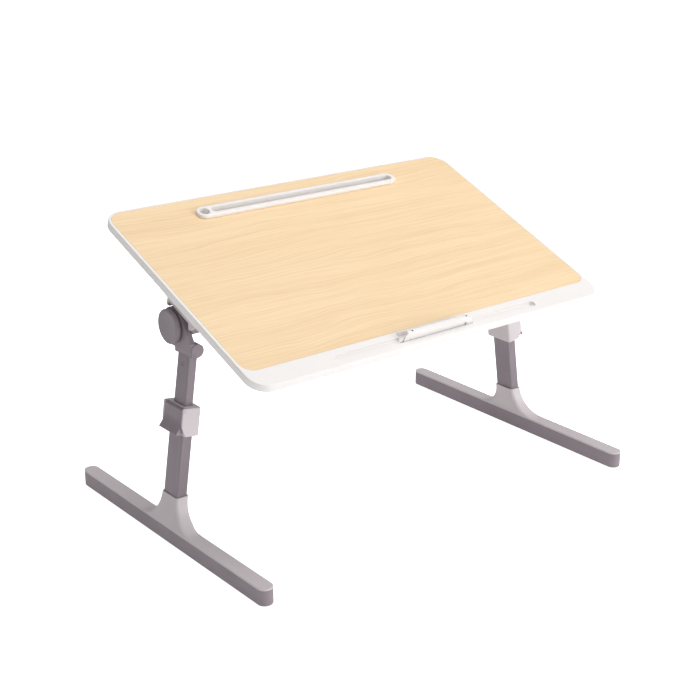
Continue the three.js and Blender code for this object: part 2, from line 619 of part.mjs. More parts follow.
function tiltSpring() {
  const x0 = headIn - BORE_FLOOR - SPRING_WIRE - CLEAR;
  const pitch = 2.4 * SPRING_WIRE;
  const turns = Array.from({ length: SPRING_TURNS * SPRING_STEPS + 1 }, (_, i) => {
    const angle = (i / SPRING_STEPS) * 2 * Math.PI;
    return new THREE.Vector3(x0 - (i / SPRING_STEPS) * pitch, SPRING_RADIUS * Math.cos(angle),
      SPRING_RADIUS * Math.sin(angle));
  });
  const wire = new THREE.Shape();
  wire.absarc(0, 0, SPRING_WIRE, 0, 2 * Math.PI);
  return new THREE.ExtrudeGeometry(wire, {
    steps: SPRING_TURNS * SPRING_STEPS,
    curveSegments: 4,
    bevelEnabled: false,
    extrudePath: new THREE.CatmullRomCurve3(turns),
  });
}

function tiltButton() {
  const out = buttonIn - BUTTON_THICK;
  const profile = [[0, out], [BUTTON_RADIUS - BUTTON_FLAT, out],
    [BUTTON_RADIUS - BUTTON_EDGE, out + BUTTON_DOME],
    [BUTTON_RADIUS, out + BUTTON_DOME + BUTTON_EDGE], [BUTTON_RADIUS, buttonIn],
    [STEM_RADIUS, buttonIn], [STEM_RADIUS, buttonIn + STEM_LENGTH],
    [STEM_RADIUS - STEM_WALL, buttonIn + STEM_LENGTH],
    [STEM_RADIUS - STEM_WALL, buttonIn - STEM_HOLLOW], [0, buttonIn - STEM_HOLLOW]];
  const points = profile.map(([r, x]) => new THREE.Vector2(r, x));
  return new THREE.LatheGeometry(points, 32).rotateZ(-Math.PI / 2);
}

function armOnLeg() {
  const arm = new THREE.Group();
  arm.position.set(-legX, AXIS_BACK, AXIS_HEIGHT);
  arm.add(
    piece('tilt_arm_left', tiltArm(), 'taupe'),
    piece('tilt_gear_left', tiltGear(), 'nylon'),
    piece('tilt_spring_left', tiltSpring(), 'steel'),
    piece('tilt_button_left', tiltButton(), 'taupe'),
  );
  return arm;
}

// ---- Tubes and clamp: origin level with the tilt axis, Z along the leg ----------------
const collarTop = along(COLLAR_TOP);
const collarLow = along(COLLAR_LOW);
const outerTop = collarTop - COLLAR_LIP;
const padZ = collarTop - PAD_DROP;

function innerTube() {
  const body = tube(innerDeep, innerThick, TUBE_WALL, TUBE_CORNER, along(INNER_FOOT), along(innerTop));
  const hole = rodX(RIVET_RADIUS + CLEAR, -20, 20, 16)
    .translate(0, 0, along(innerTop) - PLUG_LENGTH / 2);
  return cut(body, hole);
}

function tubeRivet() {
  const half = innerThick / 2 - RIVET_SINK;
  return rodX(RIVET_RADIUS, -half, half, 16).translate(0, 0, along(innerTop) - PLUG_LENGTH / 2);
}

function glidePlug() {
  const z = along(INNER_FOOT) - CLEAR;
  const head = block(outerBoreThick - 2 * CLEAR, outerBoreDeep - 2 * CLEAR, PLUG_CORNER, z - GLIDE_HEAD, z);
  const stem = block(innerBoreThick - 2 * CLEAR, innerBoreDeep - 2 * CLEAR, PLUG_CORNER,
    z - GLIDE_HEAD / 2, z + GLIDE_STEM);
  return joined(head, stem);
}

const padWindow = (grow) => box(-20, 0, -PAD_DEEP / 2 - grow, PAD_DEEP / 2 + grow,
  padZ - PAD_TALL / 2 - grow, padZ + PAD_TALL / 2 + grow);

function outerTube() {
  return cut(tube(OUTER_DEEP, OUTER_THICK, TUBE_WALL, TUBE_CORNER, along(outerFoot), outerTop),
    padWindow(CLEAR));
}

function heightCollar() {
  const shift = (collarIn - collarOut) / 2;
  const body = block(collarIn + collarOut, 2 * collarHalf, COLLAR_CORNER, collarLow, collarTop)
    .translate(shift, 0, 0);
  const ears = [-1, 1].map((s) => {
    const y = [s * collarHalf, s * (collarHalf - EAR_THICK)].sort((a, b) => a - b);
    return box(-leverPinOut - LEVER_BARREL, -collarOut + COLLAR_CORNER, y[0], y[1],
      collarLow + EAR_RISE, collarTop);
  });
  const outerBore = block(OUTER_THICK + 2 * CLEAR, OUTER_DEEP + 2 * CLEAR, TUBE_CORNER,
    collarLow - 1, outerTop + CLEAR);
  const innerBore = block(innerThick + 2 * RUN, innerDeep + 2 * RUN, TUBE_CORNER,
    collarLow, collarTop + 1);
  const pinHole = rodY(LEVER_PIN_RADIUS + CLEAR, -collarHalf - 1, collarHalf + 1, 12)
    .translate(-leverPinOut, 0, collarTop - LEVER_PIN_DROP);
  return cut(joined(body, ...ears), outerBore, innerBore, pinHole, padWindow(CLEAR));
}

const clampPad = () => box(-collarOut, -innerThick / 2 - RUN, -PAD_DEEP / 2, PAD_DEEP / 2,
  padZ - PAD_TALL / 2, padZ + PAD_TALL / 2);

const leverPin = () => rodY(LEVER_PIN_RADIUS, -collarHalf, collarHalf, 12)
  .translate(-leverPinOut, 0, collarTop - LEVER_PIN_DROP);

// The lever's section: a barrel on its pin, a flat plate and a lower end that curls outwards.
function clampLever() {
  const inner = -collarOut - RUN;
  const outer = inner - LEVER_THICK;
  const pin = collarTop - LEVER_PIN_DROP;
  const low = pin - LEVER_LENGTH;
  const bend = low + LEVER_BEND;
  const shape = new THREE.Shape();
  shape.moveTo(inner - 0.5, pin);
  shape.lineTo(outer - LEVER_PROUD, pin);
  shape.lineTo(outer - LEVER_PROUD, bend + LEVER_TIP);
  shape.quadraticCurveTo(outer - LEVER_PROUD, bend - 2 * LEVER_TIP,
    outer - LEVER_FLARE + LEVER_TIP / 2, low + LEVER_TIP);
  shape.quadraticCurveTo(outer - LEVER_FLARE, low, outer - LEVER_FLARE + LEVER_TIP, low);
  shape.lineTo(inner - 2.4, low);
  shape.lineTo(inner, bend - 9);
  const body = endways(shape, -leverHalf, leverHalf, 6);
  const barrel = rodY(LEVER_BARREL, -leverHalf, leverHalf, 18).translate(-leverPinOut, 0, pin);
  const bore = rodY(LEVER_PIN_RADIUS + CLEAR, -leverHalf - 1, leverHalf + 1, 12)
    .translate(-leverPinOut, 0, pin);
  return cut(joined(body, barrel), bore);
}

function tubesAndClamp() {
  const leg = new THREE.Group();
  leg.position.set(-legX, 0, AXIS_HEIGHT);
  leg.rotation.y = lean;
  leg.add(
    piece('inner_tube_left', innerTube(), 'tube'),
    piece('tube_rivet_left', tubeRivet(), 'tube'),
    piece('glide_plug_left', glidePlug(), 'nylon'),
    piece('outer_tube_left', outerTube(), 'tube'),
    piece('height_collar_left', heightCollar(), 'greige'),
    piece('clamp_pad_left', clampPad(), 'nylon'),
    piece('lever_pin_left', leverPin(), 'steel'),
    piece('clamp_lever_left', clampLever(), 'taupe'),
  );
  return leg;
}

// ---- Foot: origin on the floor at the foot's centre, Y along the foot -----------------
const lengthways = (geometry) => geometry.rotateZ(Math.PI / 2);
const capLow = FOOT_HEIGHT - CAP_THICK;
const rubberY = FOOT_LENGTH / 2 - RUBBER_END - RUBBER_LENGTH / 2;

// Tube centre at a height, from the foot's centre line; positive is inwards.
const tubeShift = (height) => FOOT_OFFSET + (height - FOOT_HEIGHT / 2) * Math.tan(lean);

function footBar() {
  const bar = lengthways(stadium(FOOT_LENGTH, FOOT_WIDTH, FOOT_GROUND, capLow - CLEAR));
  const recesses = [-1, 1].map((s) => lengthways(stadium(RUBBER_LENGTH + 2 * CLEAR,
    RUBBER_WIDTH + 2 * CLEAR, -1, RUBBER_THICK + CLEAR, 3)).translate(0, s * rubberY, 0));
  const screwHole = disc(FOOT_SCREW_RADIUS + CLEAR, 0, FOOT_HEIGHT, 16);
  const headHole = disc(FOOT_SCREW_HEAD + CLEAR, 0, FOOT_SCREW_SINK, 20);
  return cut(bar, ...recesses, screwHole, headHole);
}

// Half the flare's length along Y at a height: a quarter ellipse that ends on the cap.
function flareHalf(height) {
  const t = (flareTop - height) / (flareTop - FOOT_HEIGHT);
  return flareTopHalf + (FLARE_FOOT - flareTopHalf) * (1 - Math.sqrt(1 - t * t));
}

// Its two sides along X at a height: flush with the cap below, round the tube above.
function flareSides(height) {
  const t = THREE.MathUtils.clamp((height - FOOT_HEIGHT) / (flareTop - FOOT_HEIGHT), 0, 1);
  const reach = OUTER_THICK / 2 + CLEAR + FLARE_WALL;
  const inner = Math.min(FOOT_WIDTH / 2 + 20 * t, tubeShift(height) + reach);
  const outer = THREE.MathUtils.lerp(-FOOT_WIDTH / 2, tubeShift(flareTop) - reach, t);
  return [outer, inner];
}

function flare() {
  const heights = Array.from({ length: FLARE_STEPS + 1 }, (_, i) => {
    const t = i / FLARE_STEPS;
    return FOOT_HEIGHT + (flareTop - FOOT_HEIGHT) * t * t * (3 - 2 * t);
  });
  const low = [[-flareHalf(FOOT_HEIGHT), capLow + 1], [flareHalf(FOOT_HEIGHT), capLow + 1]];
  const back = heights.map((z) => [flareHalf(z), z]);
  const front = heights.map((z) => [-flareHalf(z), z]).reverse();
  const block = sideways(outline([...low, ...back, ...front]), 0, 1);
  const place = block.attributes.position;
  for (let i = 0; i < place.count; i += 1) {
    place.setX(i, flareSides(place.getZ(i))[place.getX(i) > 0.5 ? 1 : 0]);
  }
  return block;
}

function footCover() {
  const cap = lengthways(stadium(FOOT_LENGTH, FOOT_WIDTH, capLow, FOOT_HEIGHT));
  const shift = tubeShift(AXIS_HEIGHT);
  const socket = block(OUTER_THICK + 2 * CLEAR, OUTER_DEEP + 2 * CLEAR, TUBE_CORNER,
    along(outerFoot) - CLEAR, along(flareTop) + 20).rotateY(lean).translate(shift, 0, AXIS_HEIGHT);
  const screwHole = disc(FOOT_SCREW_RADIUS + CLEAR, 0, FOOT_HEIGHT + FOOT_SCREW_BITE + CLEAR, 16);
  return cut(joined(cap, flare()), socket, screwHole);
}

function footScrew() {
  const shank = disc(FOOT_SCREW_RADIUS, FOOT_SCREW_LOW + 0.4, FOOT_HEIGHT + FOOT_SCREW_BITE, 16);
  return joined(shank, disc(FOOT_SCREW_HEAD, FOOT_SCREW_LOW, FOOT_SCREW_SINK - CLEAR, 20));
}

const rubberPad = (side) => lengthways(stadium(RUBBER_LENGTH, RUBBER_WIDTH, 0, RUBBER_THICK, 3))
  .translate(0, side * rubberY, 0);

function foot() {
  const group = new THREE.Group();
  group.position.set(-legX - footShift, 0, 0);
  group.add(
    piece('foot_bar_left', footBar(), 'taupe'),
    piece('foot_cover_left', footCover(), 'greige'),
    piece('foot_screw_left', footScrew(), 'steel'),
    piece('rubber_pad_front_left', rubberPad(-1), 'rubber'),
    piece('rubber_pad_back_left', rubberPad(1), 'rubber'),
  );
  return group;
}

// ---- The right side is the left side seen in a mirror ---------------------------------
function mirroredGeometry(geometry) {
  const twin = toGeometry(solid(geometry)).scale(-1, 1, 1);
  const corners = twin.index.array;
  for (let i = 0; i < corners.length; i += 3) {
    [corners[i], corners[i + 1]] = [corners[i + 1], corners[i]];
  }
  return twin;
}

function mirrored(object) {
  const twin = object.isMesh
    ? new THREE.Mesh(mirroredGeometry(object.geometry), object.material.clone())
    : new THREE.Group();
  twin.name = object.name.replace('left', 'right');
  twin.position.set(-object.position.x, object.position.y, object.position.z);
  twin.rotation.set(object.rotation.x, -object.rotation.y, -object.rotation.z);
  object.children.forEach((child) => twin.add(mirrored(child)));
  return twin;
}

// ---- Assembly -------------------------------------------------------------------------
const table = new THREE.Group();
const top = tabletop();
const hinge = hingeOnTop();
const leftSide = [armOnLeg(), tubesAndClamp(), foot()];
top.add(hinge, mirrored(hinge));
table.add(top, ...leftSide, ...leftSide.map(mirrored));

export default table;
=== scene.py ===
# Folding tray table: the visual model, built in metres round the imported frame.
# +X is to the right along the wide side of the top, +Y to the back, +Z up.
import json
import math

import bmesh
import bpy
from bpy.props import FloatProperty, FloatVectorProperty, IntProperty, PointerProperty
from mathutils import Matrix, Vector


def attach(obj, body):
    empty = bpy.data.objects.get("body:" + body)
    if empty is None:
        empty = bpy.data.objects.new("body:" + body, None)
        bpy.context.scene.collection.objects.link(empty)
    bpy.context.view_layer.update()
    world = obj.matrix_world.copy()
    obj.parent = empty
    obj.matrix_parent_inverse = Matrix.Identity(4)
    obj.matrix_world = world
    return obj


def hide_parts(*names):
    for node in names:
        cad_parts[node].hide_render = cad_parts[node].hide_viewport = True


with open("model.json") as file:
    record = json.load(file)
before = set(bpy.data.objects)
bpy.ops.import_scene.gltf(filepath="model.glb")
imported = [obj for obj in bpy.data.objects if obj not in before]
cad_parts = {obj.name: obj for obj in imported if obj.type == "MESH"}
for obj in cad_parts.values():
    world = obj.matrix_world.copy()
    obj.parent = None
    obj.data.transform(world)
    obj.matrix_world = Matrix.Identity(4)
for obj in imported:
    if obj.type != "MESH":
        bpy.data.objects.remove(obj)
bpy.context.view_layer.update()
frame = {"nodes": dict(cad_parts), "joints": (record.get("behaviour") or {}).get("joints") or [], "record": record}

bl_info = {
    "name": "Folding Tray Table",
    "version": (1, 0, 0),
    "blender": (4, 5, 0),
    "location": "View3D > Sidebar > Tray Table",
    "description": "Builds a folding tray table with a tilting wooden top on sliding legs",
    "category": "Add Mesh",
}

MM = 0.001
FIT = 0.3 * MM  # gap between pieces that touch
RUN = 0.4 * MM  # gap round what turns or slides
PASS = 1.0 * MM  # how far a cutting tool stands out of what it cuts
THROUGH = 20 * MM  # half a tool that goes through a whole tube
GEAR_SINK = 2.7 * MM  # depth of the toothed lock's seat in the arm and in the housing
FOOT_HOLE = 2.5 * MM  # radius of the hole for the foot's screw
FINE = math.radians(9)  # turn between two points of a rounded corner

# ---- The frame's own places ---------------------------------------------------------

JOINTS = {joint["name"]: joint for joint in frame["joints"]}
MOUNTS = {mount["name"]: mount for mount in frame["record"]["mounts"]}
MIRROR = Matrix.Diagonal((-1, 1, 1, 1))


def place_of(right, back, up, origin):
    """The matrix of a local frame, from its three directions and its origin."""
    matrix = Matrix((right, back, up)).transposed().to_4x4()
    matrix.translation = origin
    return matrix


def slab_place():
    """Frame of the work surface: X to the right, Y up the slope, Z out of the wood."""
    up = Vector(MOUNTS["work_surface"]["axis"]).normalized()
    right = Vector((1, 0, 0))
    return place_of(right, up.cross(right), up, MOUNTS["work_surface"]["pos_m"])


def leg_place():
    """Frame of the left leg: Z up along its tubes, level with the tilt axis."""
    up = Vector(JOINTS["height_left"]["axis"]).normalized()
    back = Vector((0, 1, 0))
    return place_of(back.cross(up), back, up, (TILT_AXIS.x, 0, TILT_AXIS.z))


TILT_AXIS = Vector(JOINTS["tilt_left"]["pos_m"])
SLAB = slab_place()
HINGE = Matrix.Translation(TILT_AXIS) @ SLAB.to_3x3().to_4x4()
ARM = Matrix.Translation(TILT_AXIS)
LEG = leg_place()
FOOT = Matrix.Translation((MOUNTS["floor_rest"]["pos_m"][0], 0, 0))


def span(node, place):
    """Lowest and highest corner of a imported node, seen from a local frame."""
    away = place.inverted()
    corners = [away @ vertex.co for vertex in frame["nodes"][node].data.vertices]
    return tuple(Vector(map(pick, *corners)) for pick in (min, max))


def local_joint(name, place):
    """Where a joint's axis lies, seen from a local frame."""
    return place.inverted() @ Vector(JOINTS[name]["pos_m"])


# ---- Sizes and colours ----------------------------------------------------------------


def length(name, millimetres, description):
    """A length property with its default given in millimetres."""
    return FloatProperty(name=name, description=description, default=millimetres * MM,
                         min=0.0, unit="LENGTH", precision=5)


def number(name, count, description):
    """A count property."""
    return IntProperty(name=name, description=description, default=count, min=1)


def linear(level):
    """A screen level from 0 to 255 as a linear one."""
    share = level / 255
    return share / 12.92 if share <= 0.04045 else ((share + 0.055) / 1.055) ** 2.4


def colour(name, levels, description):
    """A colour property with its default given in screen levels."""
    return FloatVectorProperty(name=name, description=description, subtype="COLOR", size=3,
                               min=0.0, max=1.0, default=tuple(map(linear, levels)))


class TrayTopSizes(bpy.types.PropertyGroup):
    """Sizes of the tabletop and of what is set into it."""

    corner: length("Corner", 27, "Radius of the white frame's corners")
    upper_edge: length("Upper edge", 1.5, "Rounding of the frame's upper edge")
    lower_edge: length("Lower edge", 2.6, "Rounding of the frame's lower edge")
    wood_front: length("Front wood corner", 17, "Radius of the wood's front corners")
    wood_back: length("Back wood corner", 22.5, "Radius of the wood's back corners")
    ledge: length("Ledge", 7, "Shelf of the frame that the wood lies on")
    groove_length: length("Groove length", 351, "Length of the pen groove")
    groove_width: length("Groove width", 10.5, "Width of the pen groove")
    groove_depth: length("Groove depth", 4.5, "Depth of the pen groove")
    groove_front: length("Groove front", 2.8, "From the stop's hinge to the groove's front")
    pocket_depth: length("Pocket depth", 7.2, "Depth of the folded stop's pocket")
    pocket_spare: length("Pocket spare", 1.0, "Gap beside the book stop")
    pocket_rim: length("Pocket rim", 2.2, "Wall between the pocket and the wood")
    cover_line: length("Cover line", 24, "Pressed line in the bottom cover, from its edge")


class TraySlotSizes(bpy.types.PropertyGroup):
    """Sizes of the tablet slot and the book stop."""

    brim: length("Brim", 2.4, "Overlap of the slot's brim on the wood")
    brim_edge: length("Brim edge", 2.0, "Rounding of the brim's upper edge")
    slot_width: length("Slot width", 11, "Width of the slot that a tablet stands in")
    slot_floor: length("Slot floor", 6.4, "Depth of the slot below the wood")
    slot_gap: length("Slot gap", 4, "Wall between the slot and the round recess")
    recess: length("Recess", 7.6, "Radius of the round recess")
    recess_floor: length("Recess floor", 3.5, "Depth of the recess below the wood")
    stop_thick: length("Stop thickness", 2.2, "Thickness of the book stop's face")
    stop_lip: length("Stop lip", 3, "How far the lip stands back over the book")
    stop_foot: length("Stop foot", 10, "Width of each end leg of the stop")
    stop_window: length("Stop window", 6.0, "Height of the gap below the bar, from the hinge")
    stop_chamfer: length("Stop chamfer", 4, "Cut of the stop's upper corners")
    stop_barrel: length("Stop barrel", 2, "Radius of the stop's hinge barrels")
    stop_pin: length("Stop pin", 1, "Radius of the stop's hinge pin")
    bumper: length("Bumper", 1.1, "Radius of the stop's two rubber bumpers")


class TrayHingeSizes(bpy.types.PropertyGroup):
    """Sizes of the bracket, housing, arm and disc button on one side."""

    head: length("Head", 24.5, "Radius of the arm's round head")
    head_thick: length("Head thickness", 7.2, "Thickness of the arm's round head")
    plate: length("Plate", 3, "Thickness of the bracket's plate")
    wall: length("Wall", 2.8, "Thickness of the bracket's outer wall")
    cheek: length("Cheek", 4, "Thickness of the bracket's two cheeks")
    cheek_round: length("Cheek round", 10, "Radius of the cheeks' lower inner corner")
    fold_pin: length("Fold pin", 3, "Radius of the fold pin")
    barrel: length("Barrel", 9, "Radius of the housing round the fold pin")
    bearing: length("Bearing", 14.5, "Radius of the housing round the tilt axle")
    axle: length("Axle", 4, "Radius of the tilt axle")
    stem: length("Stem", 15, "Radius of the disc button's stem")
    gear: length("Gear", 12, "Radius of the toothed lock")
    arm_round: length("Arm round", 9.2, "Radius of the arm foot's round inner edge")
    disc_edge: length("Disc edge", 1.3, "Rounding of the disc button's edge")
    ring: length("Ring", 21.0, "Radius of the fine ring in the disc button")
    screw_head: length("Screw head", 3.9, "Radius of the bracket screws' heads")
    screw_shank: length("Screw shank", 1.9, "Radius of the bracket screws' shanks")
    spring: length("Spring", 6.4, "Radius of the spring behind the disc button")
    spring_wire: length("Spring wire", 0.6, "Radius of the spring's wire")
    spring_turns: number("Spring turns", 3, "Turns of the spring")


class TrayLegSizes(bpy.types.PropertyGroup):
    """Sizes of the tubes and the height clamp on one side."""

    wall: length("Wall", 1.2, "Wall of both tubes")
    corner: length("Corner", 2.2, "Radius of the tubes' corners")
    rivet: length("Rivet", 2.4, "Radius of the rivet through the sliding tube")
    collar_corner: length("Collar corner", 3, "Radius of the collar's corners")
    ear: length("Ear", 2.8, "Thickness of the ears that hold the lever")
    lever_pin: length("Lever pin", 1, "Radius of the lever's pin")
    lever_barrel: length("Lever barrel", 2.2, "Radius of the lever round its pin")
    lever_thick: length("Lever thickness", 3.4, "Thickness of the lever's plate")
    lever_flare: length("Lever flare", 8.5, "How far the lever's lower end stands out")


class TrayFootSizes(bpy.types.PropertyGroup):
    """Sizes of a foot."""

    bar_edge: length("Bar edge", 1.6, "Rounding of the bar's lower edge")
    cap_edge: length("Cap edge", 0.8, "Rounding of the cap's upper edge")
    flare_top: length("Flare top", 65.5, "Height of the flare round the tube")
    flare_half: length("Flare half", 18.6, "Half the flare's length at the tube")
    flare_foot: length("Flare foot", 62, "Half the flare's length on the cap")
    flare_wall: length("Flare wall", 1.5, "Wall of the flare beside the tube")
    rib_count: number("Ribs", 13, "Ribs under each rubber pad")
    rib_width: length("Rib width", 1.5, "Width of each rib")
    rib_rise: length("Rib rise", 0.8, "Height of each rib")


class TrayColours(bpy.types.PropertyGroup):
    """Colours of the finishes."""

    white: colour("White", (240, 236, 234), "Satin white moulded plastic")
    wood: colour("Wood", (250, 224, 184), "Light tone of the maple")
    wood_dark: colour("Wood grain", (226, 188, 138), "Dark tone of the maple's grain")
    board: colour("Board", (190, 162, 124), "Raw fibreboard")
    greige: colour("Greige", (206, 198, 201), "Light grey-beige moulded plastic")
    taupe: colour("Taupe", (145, 134, 141), "Dark taupe moulded plastic")
    tube: colour("Tube", (138, 128, 135), "Anodised taupe aluminium")
    steel: colour("Steel", (196, 198, 202), "Zinc-plated steel")
    rubber: colour("Rubber", (46, 43, 45), "Dark rubber")
    nylon: colour("Nylon", (34, 33, 35), "Black nylon")
    floor: colour("Floor", (250, 250, 250), "Pale floor")


GROUPS = {
    "tray_top": TrayTopSizes,
    "tray_slot": TraySlotSizes,
    "tray_hinge": TrayHingeSizes,
    "tray_leg": TrayLegSizes,
    "tray_foot": TrayFootSizes,
    "tray_colours": TrayColours,
}

# ---- Outlines ---------------------------------------------------------------------------


def arc(x, y, radius, start, end, steps):
    """Points along an arc."""
    turns = [start + (end - start) * step / steps for step in range(steps + 1)]
    return [(x + radius * math.cos(turn), y + radius * math.sin(turn)) for turn in turns]


def circle(radius, x=0.0, y=0.0, steps=64):
    """A closed circle."""
    return arc(x, y, radius, 0, math.tau, steps)[:-1]


def rounded_box(x0, x1, y0, y1, radius, steps=10):
    """A rectangle with round corners."""
    corners = ((x1, y1, 1, 1), (x0, y1, -1, 1), (x0, y0, -1, -1), (x1, y0, 1, -1))
    points = []
    for quarter, (x, y, right, up) in enumerate(corners):
        start = quarter * math.pi / 2
        points += arc(x - right * radius, y - up * radius, radius, start,
                      start + math.pi / 2, steps)
    return points


def stadium(x0, x1, y0, y1, steps=16):
    """A box whose short ends are half circles."""
    return rounded_box(x0, x1, y0, y1, 0.4999 * min(x1 - x0, y1 - y0), steps)


def rounded(corners, radius):
    """A closed outline with round corners; a corner may give a radius of its own."""
    points = []
    for index, corner in enumerate(corners):
        here = Vector(corner[:2])
        before = Vector(corners[index - 1][:2]) - here
        after = Vector(corners[(index + 1) % len(corners)][:2]) - here
        bend = corner[2] if len(corner) > 2 else radius
        inside = before.angle(after)
        if bend <= 0 or inside > math.pi - 0.02:
            points.append(tuple(here))
            continue
        start = here + before.normalized() * bend / math.tan(inside / 2)
        bisector = (before.normalized() + after.normalized()).normalized()
        centre = here + bisector * bend / math.sin(inside / 2)
        side = 1 if after.x * before.y - after.y * before.x > 0 else -1
        first = math.atan2(start.y - centre.y, start.x - centre.x)
        sweep = side * (math.pi - inside)
        steps = max(2, math.ceil(abs(sweep) / FINE))
        points += arc(centre.x, centre.y, bend, first, first + sweep, steps)
    return points


def edge_profile(low, high, low_radius, high_radius, steps=5):
    """Insets and heights up the side of a plate with two rounded edges."""
    below = arc(low_radius, low + low_radius, low_radius, -math.pi / 2, -math.pi, steps)
    above = arc(high_radius, high - high_radius, high_radius, math.pi, math.pi / 2, steps)
    return (below if low_radius else [(0, low)]) + (above if high_radius else [(0, high)])


# ---- Solids -----------------------------------------------------------------------------

TURNS = {  # where an outline's two directions and its depth point
    "X": lambda a, b, depth: (depth, a, b),
    "Y": lambda a, b, depth: (a, depth, b),
    "Z": lambda a, b, depth: (a, b, depth),
}


def loft(rings):
    """A closed solid through rings of as many points each."""
    shape = bmesh.new()
    rows = [[shape.verts.new(point) for point in ring] for ring in rings]
    for low, high in zip(rows, rows[1:]):
        for index, point in enumerate(low):
            beside = (index + 1) % len(low)
            shape.faces.new((point, low[beside], high[beside], high[index]))
    shape.faces.new(rows[0])
    shape.faces.new(rows[-1])
    bmesh.ops.recalc_face_normals(shape, faces=shape.faces)
    return shape


def prism(outline, low, high, along="Z"):
    """An outline pushed from one depth to another along an axis."""
    turn = TURNS[along]
    return loft([[turn(a, b, depth) for a, b in outline] for depth in (low, high)])


def block(x0, x1, y0, y1, z0, z1):
    """A plain box, as a cutting tool."""
    return prism([(x0, y0), (x1, y0), (x1, y1), (x0, y1)], z0, z1)


def rod(radius, low, high, along="Z", a=0.0, b=0.0, steps=64):
    """A round rod along an axis."""
    return prism(circle(radius, a, b, steps), low, high, along)


def spun(profile, along="Z", a=0.0, b=0.0, steps=96):
    """A solid of revolution from radii and depths."""
    turn = TURNS[along]
    return loft([[turn(x, y, depth) for x, y in circle(radius, a, b, steps)]
                 for radius, depth in profile])


def pillow(outline, profile):
    """A plate whose outline shrinks by each inset of its edge profile."""
    return loft([[(x, y, height) for x, y in outline(inset)] for inset, height in profile])


def scratch(shape):
    """A throwaway object that holds a shape."""
    mesh = bpy.data.meshes.new("scratch")
    shape.to_mesh(mesh)
    shape.free()
    thing = bpy.data.objects.new("scratch", mesh)
    bpy.context.scene.collection.objects.link(thing)
    return thing


def plain_mesh(thing):
    """The mesh of an object with its modifiers applied; the object is removed."""
    graph = bpy.context.evaluated_depsgraph_get()
    mesh = bpy.data.meshes.new_from_object(thing.evaluated_get(graph), depsgraph=graph)
    discard(thing)
    return mesh


def discard(thing):
    """Removes a throwaway object and its mesh."""
    mesh = thing.data
    bpy.data.objects.remove(thing)
    if mesh and not mesh.users:
        bpy.data.meshes.remove(mesh)


def combined(body, tools, operation):
    """Joins tools to a body, or cuts them from it."""
    target = scratch(body)
    helpers = [scratch(tool) for tool in tools]
    for helper in helpers:
        change = target.modifiers.new(operation.title(), "BOOLEAN")
        change.operation = operation
        change.solver = "EXACT"
        change.object = helper
    result = plain_mesh(target)
    for helper in helpers:
        discard(helper)
    shape = bmesh.new()
    shape.from_mesh(result)
    bpy.data.meshes.remove(result)
    bmesh.ops.remove_doubles(shape, verts=shape.verts, dist=0.002 * MM)
    flat = [edge for edge in shape.edges if len(edge.link_faces) == 2
            and edge.calc_face_angle(math.pi) < 0.001]
    bmesh.ops.dissolve_edges(shape, edges=flat, use_verts=False)
    return shape


def joined(body, *tools):
    """A body with others joined to it."""
    return combined(body, tools, "UNION")


def cut(body, *tools):
    """A body with tools cut from it."""
    return combined(body, tools, "DIFFERENCE")


# ---- Pieces -----------------------------------------------------------------------------


def settle(name, shape, slot, body, nodes, rounding=0.0, steps=3, angle=34):
    """Rounds a shape's edges and makes it a finished piece that rides on a body."""
    for face in shape.faces:
        face.smooth = True
    source = scratch(shape)
    look = finish(slot)
    source.data.materials.append(look)
    source.data.materials.append(look)
    if rounding:
        soft = source.modifiers.new("Rounding", "BEVEL")
        soft.width = rounding * MM
        soft.segments = steps
        soft.limit_method = "ANGLE"
        soft.angle_limit = math.radians(angle)
        soft.use_clamp_overlap = True
        soft.miter_outer = "MITER_SHARP"
        # The rounded edge's faces take the second slot; mark_edges turns it into the mask for edge wear and a
        # painted highlight.
        soft.material = 1
    source.modifiers.new("Even shading", "WEIGHTED_NORMAL").keep_sharp = True
    mesh = plain_mesh(source)
    mark_edges(mesh)
    mesh.name = name
    thing = bpy.data.objects.new(name, mesh)
    bpy.context.scene.collection.objects.link(thing)
    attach(thing, body)
    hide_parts(*nodes)
    return thing


def mark_edges(mesh):
    """Keeps which faces belong to rounded edges, so that a finish can show wear and a painted highlight there."""
    wear_highlight_marks = [float(face.material_index) for face in mesh.polygons]
    mesh.attributes.new("wear_and_highlight_edge", "FLOAT", "FACE").data.foreach_set("value", wear_highlight_marks)
    mesh.polygons.foreach_set("material_index", [0] * len(wear_highlight_marks))
    mesh.materials.pop()


def pair(name, shape, place, slot, body, nodes=None, rounding=0.0, **edge):
    """Makes the left piece and its mirror image on the right."""
    shape.transform(place)
    for side in ("left", "right"):
        twin = shape.copy()
        if side == "right":
            twin.transform(MIRROR)
            bmesh.ops.reverse_faces(twin, faces=twin.faces)
        stands_for = [node.format(side=side) for node in nodes or [name + "_{side}"]]
        settle(f"{side}_{name}", twin, slot, body.format(side=side), stands_for, rounding, **edge)
    shape.free()


# ---- Node trees -------------------------------------------------------------------------


def add(tree, kind, inputs=None, **options):
    """Adds a node, sets its options and fills or links its inputs."""
    node = tree.nodes.new(kind)
    for option, value in options.items():
        setattr(node, option, value)
    for key, value in (inputs or {}).items():
        sources = value if isinstance(value, list) else [value]
        if isinstance(sources[0], bpy.types.NodeSocket):
            for source in sources:
                tree.links.new(source, node.inputs[key])
        else:
            node.inputs[key].default_value = value
    return node


def new_tree(name, floats, integers=()):
    """A Geometry Nodes tree with named inputs; gives the tree and its input node."""
    tree = bpy.data.node_groups.new(name, "GeometryNodeTree")
    tree.interface.new_socket("Geometry", in_out="OUTPUT", socket_type="NodeSocketGeometry")
    for label in floats:
        tree.interface.new_socket(label, in_out="INPUT", socket_type="NodeSocketFloat")
    for label in integers:
        tree.interface.new_socket(label, in_out="INPUT", socket_type="NodeSocketInt")
    tree.interface.new_socket("Finish", in_out="INPUT", socket_type="NodeSocketMaterial")
    return tree, add(tree, "NodeGroupInput")


